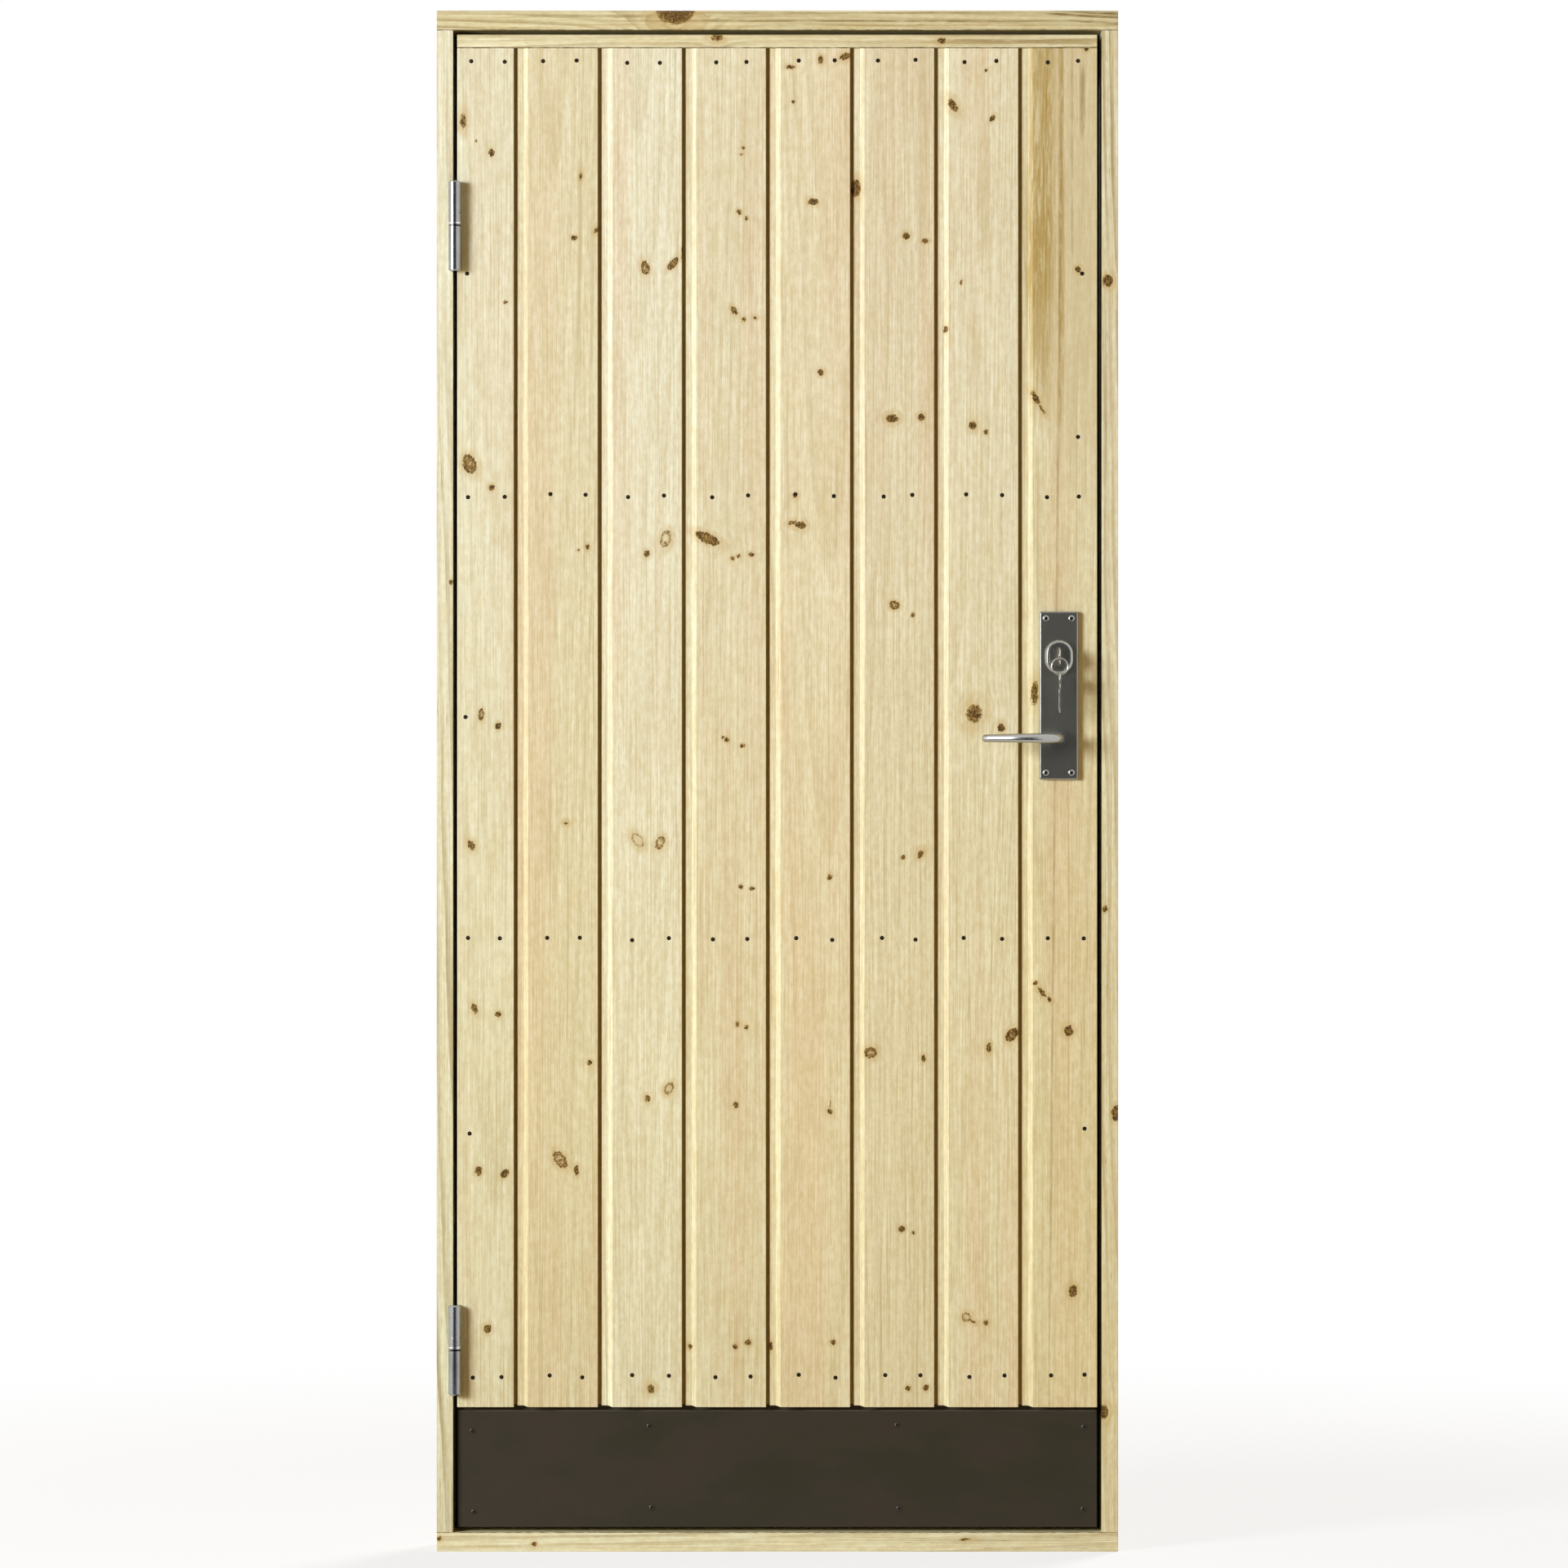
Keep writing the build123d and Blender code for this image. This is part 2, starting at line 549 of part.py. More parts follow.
def make_leaf_hinge(z):
    """Leaf half: the upper knuckle, bored for the pin, and its flap."""
    low = z + KNUCKLE_GAP
    top = z + KNUCKLE_LENGTH
    knuckle = rod_along_z(KNUCKLE_RADIUS, low, top, HINGE_X, HINGE_Y)
    knuckle = chamfer(knuckle.edges().group_by(Axis.Z)[-1], KNUCKLE_CHAMFER)
    flap = block(LEAF_LEFT, LEAF_LEFT + FLAP_THICKNESS, HINGE_Y, FRONT + FLAP_DEPTH, low, top)
    body = knuckle + flap
    line_low = z + COLLAR_LINE_UP
    line = rod_along_z(KNUCKLE_RADIUS + FLAP_THICKNESS, line_low, line_low + COLLAR_LINE_WIDTH, HINGE_X, HINGE_Y)
    kept = rod_along_z(KNUCKLE_RADIUS - COLLAR_LINE_DEPTH, line_low, line_low + COLLAR_LINE_WIDTH, HINGE_X, HINGE_Y)
    behind = block(HINGE_X, LEAF_RIGHT, HINGE_Y, BACK, line_low, line_low + COLLAR_LINE_WIDTH)
    body -= line - kept - behind
    return body - rod_along_z(PIN_RADIUS + PIN_CLEARANCE, low, z + PIN_REACH + KNUCKLE_GAP, HINGE_X, HINGE_Y)


def make_all():
    half_rail = RAIL_HEIGHT / 2
    upper_rail_z = LEAF_TOP - UPPER_RAIL_DOWN
    lower_rail_z = LEAF_LOW + LOWER_RAIL_UP
    bottom_rail_z = LEAF_LOW + BOTTOM_RAIL_UP
    lever = make_outer_lever()
    nodes = {
        "left_jamb": make_left_jamb(),
        "right_jamb": make_right_jamb(),
        "head_jamb": make_head_jamb(),
        "sill": make_sill(),
        "strike_plate": make_strike_plate(),
        "upper_frame_hinge": make_frame_hinge(HINGE_HIGH_Z),
        "lower_frame_hinge": make_frame_hinge(HINGE_LOW_Z),
        "upper_leaf_hinge": make_leaf_hinge(HINGE_HIGH_Z),
        "lower_leaf_hinge": make_leaf_hinge(HINGE_LOW_Z),
        "top_strip": make_top_strip(),
        "kick_plate": make_kick_plate(),
        "hinge_stile": make_hinge_stile(),
        "lock_stile": make_lock_stile(),
        "top_rail": make_rail(LEAF_TOP - RAIL_HEIGHT, LEAF_TOP),
        "upper_rail": make_rail(upper_rail_z - half_rail, upper_rail_z + half_rail),
        "lower_rail": make_rail(lower_rail_z - half_rail, lower_rail_z + half_rail),
        "bottom_rail": make_rail(bottom_rail_z, bottom_rail_z + BOTTOM_RAIL_HEIGHT),
        "foot_rail": make_rail(LEAF_LOW, LEAF_LOW + RAIL_HEIGHT),
        "lock_case": make_lock_case(),
        "latch_bolt": make_bolt(LATCH_Z, LATCH_HEIGHT),
        "dead_bolt": make_bolt(DEAD_BOLT_Z, DEAD_BOLT_HEIGHT),
        "outer_plate": make_outer_plate(),
        "inner_plate": make_inner_plate(),
        "cylinder_ring": make_cylinder_ring(),
        "cylinder": make_cylinder(),
        "thumb_turn": make_thumb_turn(),
        "key": make_key(),
        "key_ring": make_key_ring(),
        "spare_key": make_spare_key(),
        "spindle": make_spindle(),
        "outer_lever": lever,
        "inner_lever": mirror_to_inside(lever),
    }
    for number in range(GROOVE_COUNT + 1):
        nodes[f"board_{number + 1}"] = make_board(number)
    return nodes


os.makedirs("parts", exist_ok=True)
for name, shape in make_all().items():
    export_step(shape, f"parts/{name}.step")
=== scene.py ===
import math
import random
from typing import NamedTuple
import bpy
import bmesh
from mathutils import Matrix, Vector


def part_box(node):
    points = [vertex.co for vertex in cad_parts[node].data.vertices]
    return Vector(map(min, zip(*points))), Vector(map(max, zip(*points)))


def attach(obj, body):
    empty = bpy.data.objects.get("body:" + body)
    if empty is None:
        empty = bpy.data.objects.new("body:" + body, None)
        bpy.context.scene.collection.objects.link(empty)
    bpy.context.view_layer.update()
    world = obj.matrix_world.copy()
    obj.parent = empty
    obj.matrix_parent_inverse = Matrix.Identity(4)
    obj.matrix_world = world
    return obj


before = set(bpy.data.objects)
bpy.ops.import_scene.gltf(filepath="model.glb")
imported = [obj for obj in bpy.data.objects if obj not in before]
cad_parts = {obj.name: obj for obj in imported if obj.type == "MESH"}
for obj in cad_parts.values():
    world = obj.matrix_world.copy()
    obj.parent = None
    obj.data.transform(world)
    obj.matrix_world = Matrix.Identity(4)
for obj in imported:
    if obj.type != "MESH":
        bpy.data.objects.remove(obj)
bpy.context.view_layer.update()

# The photograph, taken straight on: its side and two places in it, in pixels, and a pixel's size
# on the door's front, in metres
PHOTO_SIZE = 1920
PHOTO_MIDDLE_X = 951.9
PHOTO_FLOOR_Y = 1900
PIXEL = 1.0546 / 1000

# Depths in the leaf, in metres: the boards' face, just behind the grooves' floor, just before
# the boards' back, just behind the front of the rails that the boards cover (painted shade from
# there on); and how much further back than their floor the grooves' painted shade is full
FRONT_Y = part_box("board_2")[0][1]
GROOVE_FLOOR_Y = -0.0409
BOARD_BACK_Y = -0.0284
COVERED_FROM_Y = -0.0278
GROOVE_SHADE_BLEND = 0.0015

# Colours, linear
WHITE = (1, 1, 1, 1)
FRAME_EARLY = (0.725, 0.715, 0.530, 1)
FRAME_LATE = (0.330, 0.240, 0.090, 1)
BOARD_EARLY = (0.745, 0.710, 0.500, 1)
BOARD_LATE = (0.515, 0.415, 0.200, 1)
BOARD_WARM = (0.715, 0.605, 0.405, 1)
YELLOWISH = (0.710, 0.640, 0.400, 1)
DULL_YELLOW = (0.560, 0.475, 0.265, 1)
GOLDEN = (0.385, 0.260, 0.055, 1)
STREAK_DARK = (0.210, 0.140, 0.040, 1)
KNOT_DARK = (0.052, 0.027, 0.004, 1)
KNOT_BROWN = (0.215, 0.118, 0.018, 1)
KNOT_HALO = (0.540, 0.400, 0.160, 1)
# Painted shade for the fronts of rails and stiles, where gaps show them
GAP_SHADE_TONE = (0.080, 0.065, 0.045, 1)
PLY_OLIVE = (0.0235, 0.0195, 0.0080, 1)
PLY_RED = (0.0295, 0.0195, 0.0105, 1)
# Dust and scuffs, and also the painted highlight on the kick plate's top edge
PLY_DUST_AND_EDGE_LIGHT = (0.120, 0.100, 0.070, 1)
ZINC = (0.420, 0.430, 0.430, 1)
# A painted highlight ring above the hinges' split, and the painted shade in it
ZINC_HIGHLIGHT = (0.850, 0.850, 0.830, 1)
SPLIT_SHADE = (0.015, 0.013, 0.010, 1)
STAINLESS = (0.430, 0.425, 0.400, 1)
PLATE_STEEL = (0.330, 0.320, 0.280, 1)
DULL_STEEL = (0.420, 0.420, 0.430, 1)
DARK_SCREW = (0.060, 0.052, 0.040, 1)
NICKEL = (0.520, 0.500, 0.440, 1)
# Near black: dark steel, and the painted shade of the nails' holes and the screws' recesses
NAIL = (0.008, 0.006, 0.003, 1)
NAIL_RUST = (0.030, 0.018, 0.008, 1)
# A black strip that paints the shade in the gap round the leaf, with faint specks
GAP_SHADE_BLACK = (0.012, 0.011, 0.010, 1)
GAP_SHADE_SPECKS = (0.040, 0.037, 0.032, 1)

# Colours to multiply by
FIBRE_DARK = (0.800, 0.740, 0.620, 1)
FIBRE_LIGHT = (1.100, 1.130, 1.160, 1)
MOTTLE_DARK = (0.945, 0.920, 0.865, 1)
MOTTLE_LIGHT = (1.040, 1.055, 1.090, 1)
# Painted shade for the grooves' slits and the faces behind their floor
GROOVE_SHADE_TONE = (0.680, 0.550, 0.280, 1)
FOOT_TONE = (0.990, 0.975, 0.880, 1)
TOP_TONE = (0.985, 1.000, 1.030, 1)

# Heights between which the wood's tone goes from that of the foot to that of the top
FOOT_TONE_TO = 0.3
TOP_TONE_FROM = 1.7


def from_photo(px, py):
    """Where a pixel of the photograph lies on the door's front, in metres."""
    return (px - PHOTO_MIDDLE_X) * PIXEL, (PHOTO_FLOOR_Y - py) * PIXEL


class Nodes:
    """Short ways of adding nodes to one tree."""

    def __init__(self, tree):
        self.tree = tree

    def add(self, kind, **settings):
        node = self.tree.nodes.new("ShaderNode" + kind)
        for key, value in settings.items():
            setattr(node, key, value)
        return node

    def put(self, socket, value):
        if isinstance(value, bpy.types.NodeSocket):
            self.tree.links.new(value, socket)
        elif value is not None:
            socket.default_value = value

    def place(self):
        return self.add("TexCoord").outputs["Object"]

    def split(self, vector):
        node = self.add("SeparateXYZ")
        self.put(node.inputs[0], vector)
        return node.outputs

    def math(self, operation, *values):
        node = self.add("Math", operation=operation)
        for socket, value in zip(node.inputs, values):
            self.put(socket, value)
        return node.outputs[0]

    def ramp(self, value, from_low, from_high, to_low=0.0, to_high=1.0, smooth=True):
        node = self.add("MapRange", interpolation_type="SMOOTHSTEP" if smooth else "LINEAR")
        for socket, item in zip(node.inputs, (value, from_low, from_high, to_low, to_high)):
            self.put(socket, item)
        return node.outputs[0]

    def band(self, value, low, high, soft):
        """1 between low and high, and a soft edge at both ends."""
        rise = self.ramp(value, low - soft, low + soft)
        fall = self.ramp(value, high + soft, high - soft)
        return self.math("MULTIPLY", rise, fall)

    def mix(self, factor, a, b, blend="MIX"):
        node = self.add("Mix", data_type="RGBA", blend_type=blend)
        self.put(node.inputs[0], factor)
        self.put(node.inputs[6], a)
        self.put(node.inputs[7], b)
        return node.outputs[2]

    def tinted(self, colour, tone):
        return self.mix(1.0, colour, tone, "MULTIPLY")

    def scaled(self, vector, scale, offset=(0, 0, 0)):
        node = self.add("VectorMath", operation="MULTIPLY_ADD")
        self.put(node.inputs[0], vector)
        node.inputs[1].default_value = scale
        self.put(node.inputs[2], offset)
        return node.outputs[0]

    def noise(self, vector, scale=1.0, detail=2.0, rough=0.5):
        node = self.add("TexNoise")
        self.put(node.inputs["Vector"], vector)
        node.inputs["Scale"].default_value = scale
        node.inputs["Detail"].default_value = detail
        node.inputs["Roughness"].default_value = rough
        return node.outputs[0]

    def bump(self, height, strength, distance):
        node = self.add("Bump")
        node.inputs["Strength"].default_value = strength
        node.inputs["Distance"].default_value = distance
        self.put(node.inputs["Height"], height)
        return node.outputs[0]

    def seen_directly(self):
        """1 for rays that show the studio: from the camera, off a shine or through glass."""
        path = self.add("LightPath").outputs
        shown = self.math("MAXIMUM", path["Is Camera Ray"], path["Is Glossy Ray"])
        return self.math("MAXIMUM", shown, path["Is Transmission Ray"])

    def surface(self, shader):
        self.put(self.add("OutputMaterial").inputs["Surface"], shader)


def empty_material(name):
    material = bpy.data.materials.new(name)
    material.use_nodes = True
    material.node_tree.nodes.clear()
    return material, Nodes(material.node_tree)


def new_material(name):
    """A material with one Principled shader, its nodes and the shader."""
    material, n = empty_material(name)
    shader = n.add("BsdfPrincipled")
    n.surface(shader.outputs[0])
    return material, n, shader


class Figure(NamedTuple):
    """A pattern in wood, made from noise of so many cycles a metre across and along the grain.

    It goes from least to most where the noise goes from start to full.
    """
    across: float
    along: float
    start: float
    full: float
    least: float = 0.0
    most: float = 1.0
    detail: float = 2.0
    rough: float = 0.5


WARM_BANDS = Figure(24, 0.9, 0.42, 0.70, most=0.7)
YELLOW_CLOUDS = Figure(60, 14, 0.45, 0.75, most=0.55, detail=3, rough=0.7)
MOTTLE = Figure(170, 75, 0.34, 0.66, detail=3, rough=0.65)
DARK_FIBRES = Figure(330, 2.2, 0.62, 0.78, most=0.6, detail=1)
DARK_SPECKS = Figure(420, 40, 0.66, 0.80, most=0.45, detail=1)
HALO_PATCHES = Figure(130, 40, 0.30, 0.60, least=0.4, detail=3, rough=0.7)
KNOT_PATCHES = Figure(560, 380, 0.38, 0.60, least=0.35)
STREAK_BREAKS = Figure(330, 26, 0.36, 0.56, least=0.4, detail=3, rough=0.7)
JOINT_BREAKS = Figure(90, 90, 0.35, 0.60, least=0.35)

# Noise that is used as it is: cycles a metre across and along the grain, detail and roughness
FIBRES = (620, 8, 3, 0.6)
RAGGED_NOISE = (330, 210, 3)
SLOW_NOISE = (5, 1.1, 1)
QUICK_NOISE = (30, 3.0, 2)
WAVE_NOISE = (20, 2.5, 2)
FRAY_NOISE = (300, 4, 1)

# How far the noise of one piece lies from that of the next
SEED_STEP = (3.17, 1.31, 7.93)

# What the fibres do to the wood's colour, its roughness and its face
FIBRES_IN_COLOUR = (0.25, 0.75)
FIBRES_IN_ROUGHNESS = (0.2, 0.8, 0.52, 0.66)
FIBRE_BUMP = (0.4, 0.0003)
WOOD_SPECULAR = 0.3


class Wood:
    """Where a material's points lie across, through and along the grain, in metres."""

    def __init__(self, n, grain, seed):
        self.n = n
        self.grain = grain
        self.shift = tuple(seed * step for step in SEED_STEP)
        x, self.through, self.height = n.split(n.place())
        self.across, self.along = self.turn(x, self.height)
        turned = n.add("CombineXYZ")
        for socket, value in zip(turned.inputs, (self.across, self.through, self.along)):
            n.put(socket, value)
        self.place = turned.outputs[0]

    def turn(self, x, z):
        return (x, z) if self.grain == "Z" else (z, x)

    def noise(self, across, along, detail=2.0, rough=0.5):
        place = self.n.scaled(self.place, (across, across, along), self.shift)
        return self.n.noise(place, detail=detail, rough=rough)

    def wander(self, across, along, detail):
        """Noise to both sides of zero."""
        return self.n.math("SUBTRACT", self.noise(across, along, detail), 0.5)

    def figure(self, figure):
        noise = self.noise(figure.across, figure.along, figure.detail, figure.rough)
        return self.n.ramp(noise, figure.start, figure.full, figure.least, figure.most)


# Knots: how far their outline wanders, in metres; how deep they go; the width in pixels from
# which the grain bends round them, and how much; and the reach of a point with no knot near
RAGGED_KNOTS = (0.0052, 0, 0.0056)
KNOT_DEPTH = 0.06
GRAIN_BENDS_FROM = 12
GRAIN_BEND = 1.3
GRAIN_BEND_FADES = 0.6
NO_KNOT = 50.0

# A knot's reach is 0 at its middle and 1 at its edge, squared. A ringed knot is darkest at the
# ring, and fades inwards and outwards by these slopes.
RING_AT = 0.6
RING_DARKEST = 0.25
RING_SLOPES = (-0.7, 1.6)

# Reaches where a knot's dark and its halo begin and are full, and the dark's share that is brown
KNOT_STARTS, KNOT_FULL = 1.45, 0.6
HALO_STARTS, HALO_FULL, HALO_AMOUNT = 6.0, 0.8, 0.6
BROWN_TO = 0.45


def knot_field(wood, knots):
    """The grain pushed aside by the knots, and the reach of the nearest knot."""
    n = wood.n
    push = wood.across
    if not knots:
        return push, None
    nearest = NO_KNOT
    wobble = n.add("VectorMath", operation="MULTIPLY_ADD")
    n.put(wobble.inputs[0], wood.wander(*RAGGED_NOISE))
    wobble.inputs[1].default_value = RAGGED_KNOTS
    n.put(wobble.inputs[2], wood.place)
    for knot in knots:
        across, along = wood.turn(*from_photo(knot.px, knot.py))
        half_across, half_along = wood.turn(knot.width * PIXEL / 2, knot.height * PIXEL / 2)
        local = n.add("Mapping", vector_type="TEXTURE")
        n.put(local.inputs["Vector"], wobble.outputs[0])
        local.inputs["Location"].default_value = (across, FRONT_Y, along)
        local.inputs["Rotation"].default_value = (0, math.radians(knot.tilt), 0)
        local.inputs["Scale"].default_value = (half_across, KNOT_DEPTH, half_along)
        dot = n.add("VectorMath", operation="DOT_PRODUCT")
        n.put(dot.inputs[0], local.outputs[0])
        n.put(dot.inputs[1], local.outputs[0])
        reach = dot.outputs["Value"]
        if knot.width >= GRAIN_BENDS_FROM:
            beside = n.split(local.outputs[0])[0]
            away = n.math("MAXIMUM", n.math("MULTIPLY", reach, GRAIN_BEND_FADES), 1.0)
            aside = n.math("DIVIDE", beside, away)
            push = n.math("MULTIPLY_ADD", aside, -GRAIN_BEND * half_across, push)
        if knot.ringed:
            sides = [n.math("MULTIPLY_ADD", reach, slope, RING_DARKEST - RING_AT * slope)
                     for slope in RING_SLOPES]
            reach = n.math("MAXIMUM", *sides)
        if knot.faint:
            reach = n.math("ADD", reach, knot.faint)
        nearest = n.math("MINIMUM", reach, nearest)
    return push, nearest


def add_knots(wood, colour, nearest):
    """A golden halo, a brown rim and a dark, patchy middle."""
    n = wood.n
    halo = n.ramp(nearest, HALO_STARTS, HALO_FULL, 0.0, HALO_AMOUNT)
    colour = n.mix(n.math("MULTIPLY", halo, wood.figure(HALO_PATCHES)), colour, KNOT_HALO)
    dark = n.ramp(nearest, KNOT_STARTS, KNOT_FULL)
    dark = n.math("MULTIPLY", dark, wood.figure(KNOT_PATCHES))
    tone = n.mix(n.ramp(dark, BROWN_TO, 1.0), KNOT_BROWN, KNOT_DARK)
    return n.mix(n.ramp(dark, 0.0, BROWN_TO), colour, tone)


# Growth rings: how far they wander, slowly and quickly, in metres; how much wider the trunk is
# a metre on; and where in a year's ring the latewood sets in and is full, and where it ends
SLOW_WANDER = 0.034
QUICK_WANDER = 0.006
TRUNK_TAPER = 0.012
LATEWOOD_GROWS = (0.30, 0.90)
LATEWOOD_ENDS = (1.0, 0.93)

# How the latewood's strength changes from year to year and along the grain
YEAR_SCALE = 0.73
YEAR_ALONG = 0.9
YEAR_STRENGTH = (0.35, 0.75, 0.2, 1.0)


def growth_rings(wood, push, ring, pith, wave):
    """Latewood lines: 0 in pale early wood, up to 1 in the dark line of a year."""
    n = wood.n
    bent = n.math("MULTIPLY_ADD", wood.wander(*SLOW_NOISE), SLOW_WANDER, push)
    bent = n.math("MULTIPLY_ADD", wood.wander(*QUICK_NOISE), QUICK_WANDER * wave, bent)
    side = n.math("SUBTRACT", bent, pith[0])
    deep = n.math("SUBTRACT", wood.through, pith[1])
    deep = n.math("MULTIPLY_ADD", wood.along, TRUNK_TAPER, deep)
    square = n.math("ADD", n.math("MULTIPLY", side, side), n.math("MULTIPLY", deep, deep))
    rings = n.math("DIVIDE", n.math("SQRT", square), ring)
    part = n.math("FRACT", rings)
    latewood = n.math("MULTIPLY", n.ramp(part, *LATEWOOD_GROWS), n.ramp(part, *LATEWOOD_ENDS))
    year = n.add("CombineXYZ")
    n.put(year.inputs[0], n.math("FLOOR", rings))
    n.put(year.inputs[1], n.math("MULTIPLY", wood.along, YEAR_ALONG))
    strength = n.ramp(n.noise(year.outputs[0], scale=YEAR_SCALE, detail=1), *YEAR_STRENGTH)
    return n.math("MULTIPLY", latewood, strength)


# Streaks, as shares of their width and length: how far their sides wave and their ends fray, and
# how soft both are; and how the fibres break them up
STREAK_WAVE = 0.5
STREAK_FRAY = 0.3
STREAK_SOFT_SIDE = 0.2
STREAK_SOFT_END = 0.15
STREAK_IN_FIBRES = (0.35, 0.65, 0.55, 1.0)


def add_streak(wood, colour, fibre, streak):
    """A band of darker wood along the grain."""
    n = wood.n
    across_0, along_0 = wood.turn(*from_photo(streak.left, streak.bottom))
    across_1, along_1 = wood.turn(*from_photo(streak.right, streak.top))
    width, length = across_1 - across_0, along_1 - along_0
    side = n.math("MULTIPLY_ADD", wood.wander(*WAVE_NOISE), width * STREAK_WAVE, wood.across)
    if streak.lean:
        from_middle = n.math("SUBTRACT", wood.along, (along_0 + along_1) / 2)
        leaning = n.math("MULTIPLY", from_middle, streak.lean * PIXEL / length)
        side = n.math("SUBTRACT", side, leaning)
    end = n.math("MULTIPLY_ADD", wood.wander(*FRAY_NOISE), length * STREAK_FRAY, wood.along)
    inside = n.band(side, across_0, across_1, width * STREAK_SOFT_SIDE)
    inside = n.math("MULTIPLY", inside, n.band(end, along_0, along_1, length * STREAK_SOFT_END))
    inside = n.math("MULTIPLY", inside, n.ramp(fibre, *STREAK_IN_FIBRES))
    inside = n.math("MULTIPLY", inside, wood.figure(STREAK_BREAKS))
    return n.mix(n.math("MULTIPLY", inside, streak.amount), colour, streak.tone)


# The line of shade at a joint: half its height, the share of that where it is full, and how
# deep it goes into the front
JOINT_LINE = 0.0009
JOINT_LINE_FULL = 0.3
JOINT_DEPTH = 0.0012


def add_joint_line(wood, colour, z):
    """A thin broken line of shade where two pieces meet at this height."""
    n = wood.n
    away = n.math("ABSOLUTE", n.math("SUBTRACT", wood.height, z))
    on_front = n.math("LESS_THAN", wood.through, FRONT_Y + JOINT_DEPTH)
    broken = n.math("MULTIPLY", wood.figure(JOINT_BREAKS), on_front)
    line = n.math("MULTIPLY", n.ramp(away, JOINT_LINE, JOINT_LINE * JOINT_LINE_FULL), broken)
    return n.mix(line, colour, KNOT_DARK)


def pine(name, tones, seed, grain, knots=(), streaks=(), ring=0.0042, pith=(0.0, 0.09),
         contrast=0.5, wave=1.0, joint=None, shaded_grooves=False, shaded_front=False, shade=None):
    """Planed pine: rings, fibres, its own knots and streaks, darker joints, painted shade in
    grooves and gaps.
    """
    early, late, warm = tones
    material, n, shader = new_material(name)
    wood = Wood(n, grain, seed)
    push, nearest = knot_field(wood, knots)
    latewood = growth_rings(wood, push, ring, pith, wave)
    fibre = wood.noise(*FIBRES)
    colour = n.mix(n.math("MULTIPLY", latewood, contrast), early, late)
    colour = n.mix(wood.figure(WARM_BANDS), colour, warm)
    colour = n.mix(wood.figure(YELLOW_CLOUDS), colour, YELLOWISH)
    lines = n.mix(n.ramp(fibre, *FIBRES_IN_COLOUR, smooth=False), FIBRE_DARK, FIBRE_LIGHT)
    colour = n.tinted(colour, lines)
    colour = n.tinted(colour, n.mix(wood.figure(MOTTLE), MOTTLE_DARK, MOTTLE_LIGHT))
    colour = n.mix(wood.figure(DARK_FIBRES), colour, late)
    colour = n.mix(wood.figure(DARK_SPECKS), colour, late)
    for streak in streaks:
        colour = add_streak(wood, colour, fibre, streak)
    if knots:
        colour = add_knots(wood, colour, nearest)
    if joint is not None:
        colour = add_joint_line(wood, colour, joint)
    # Painted shade: the grooves' slits and the faces behind their floor are darkened where shade
    # falls
    if shaded_grooves:
        groove_shade = n.ramp(wood.through, GROOVE_FLOOR_Y, GROOVE_FLOOR_Y + GROOVE_SHADE_BLEND)
        groove_shade = n.math("MULTIPLY", groove_shade, n.math("LESS_THAN", wood.through, BOARD_BACK_Y))
        colour = n.mix(groove_shade, colour, n.tinted(colour, GROOVE_SHADE_TONE))
    # Painted shade: the fronts of rails and stiles, seen only through gaps, are darkened as the
    # shade there
    if shaded_front:
        colour = n.mix(n.math("LESS_THAN", wood.through, COVERED_FROM_Y), colour, GAP_SHADE_TONE)
    rise = n.ramp(wood.height, FOOT_TONE_TO, TOP_TONE_FROM)
    colour = n.tinted(colour, n.mix(rise, FOOT_TONE, TOP_TONE))
    if shade is not None:
        colour = n.tinted(colour, shade)
    n.put(shader.inputs["Base Color"], colour)
    n.put(shader.inputs["Roughness"], n.ramp(fibre, *FIBRES_IN_ROUGHNESS))
    shader.inputs["Specular IOR Level"].default_value = WOOD_SPECULAR
    n.put(shader.inputs["Normal"], n.bump(fibre, *FIBRE_BUMP))
    return material


# How far the painted highlight on the kick plate's top edge reaches down, and where it is full
EDGE_LIGHT_DOWN = 0.0022
FULL_EDGE_LIGHT_DOWN = 0.0006
FILM_SPECULAR = 0.3


def plywood():
    """Film-faced plywood: dark, faintly mottled, with scuffs, dust and a painted highlight on its
    top edge.
    """
    material, n, shader = new_material("film_plywood")
    place = n.place()
    height = n.split(place)[2]
    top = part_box("kick_plate")[1][2]
    cloudy = n.noise(n.scaled(place, (7, 9, 14)), detail=4, rough=0.6)
    grain = n.noise(n.scaled(place, (30, 200, 420)), detail=2)
    dust = n.noise(n.scaled(place, (240, 240, 240)), detail=2, rough=0.7)
    scuff = n.noise(n.scaled(place, (160, 160, 20)), detail=3, rough=0.7)
    colour = n.mix(n.ramp(cloudy, 0.35, 0.70), PLY_OLIVE, PLY_RED)
    colour = n.mix(n.ramp(grain, 0.3, 0.8, 0.0, 0.25), colour, PLY_OLIVE)
    colour = n.mix(n.ramp(dust, 0.68, 0.82, 0.0, 0.25), colour, PLY_DUST_AND_EDGE_LIGHT)
    colour = n.mix(n.ramp(scuff, 0.70, 0.80, 0.0, 0.20), colour, PLY_DUST_AND_EDGE_LIGHT)
    # Painted highlight: the top edge is lightened where light catches it
    edge_light = n.ramp(height, top - EDGE_LIGHT_DOWN, top - FULL_EDGE_LIGHT_DOWN)
    edge_light = n.math("MULTIPLY", edge_light, n.ramp(grain, 0.3, 0.6, 0.1, 0.6))
    colour = n.mix(edge_light, colour, PLY_DUST_AND_EDGE_LIGHT)
    n.put(shader.inputs["Base Color"], colour)
    n.put(shader.inputs["Roughness"], n.ramp(cloudy, 0.3, 0.7, 0.42, 0.56))
    shader.inputs["Specular IOR Level"].default_value = FILM_SPECULAR
    n.put(shader.inputs["Normal"], n.bump(n.math("ADD", grain, dust), 0.2, 0.0002))
    return material


# Metal: brush lines a metre, how much rougher these lines and dull spots are, and its bump
BRUSH_LINES = 1500
LINES_ROUGHER = 0.08
DULL_ROUGHER = 0.12
METAL_BUMP = (0.10, 0.00005)


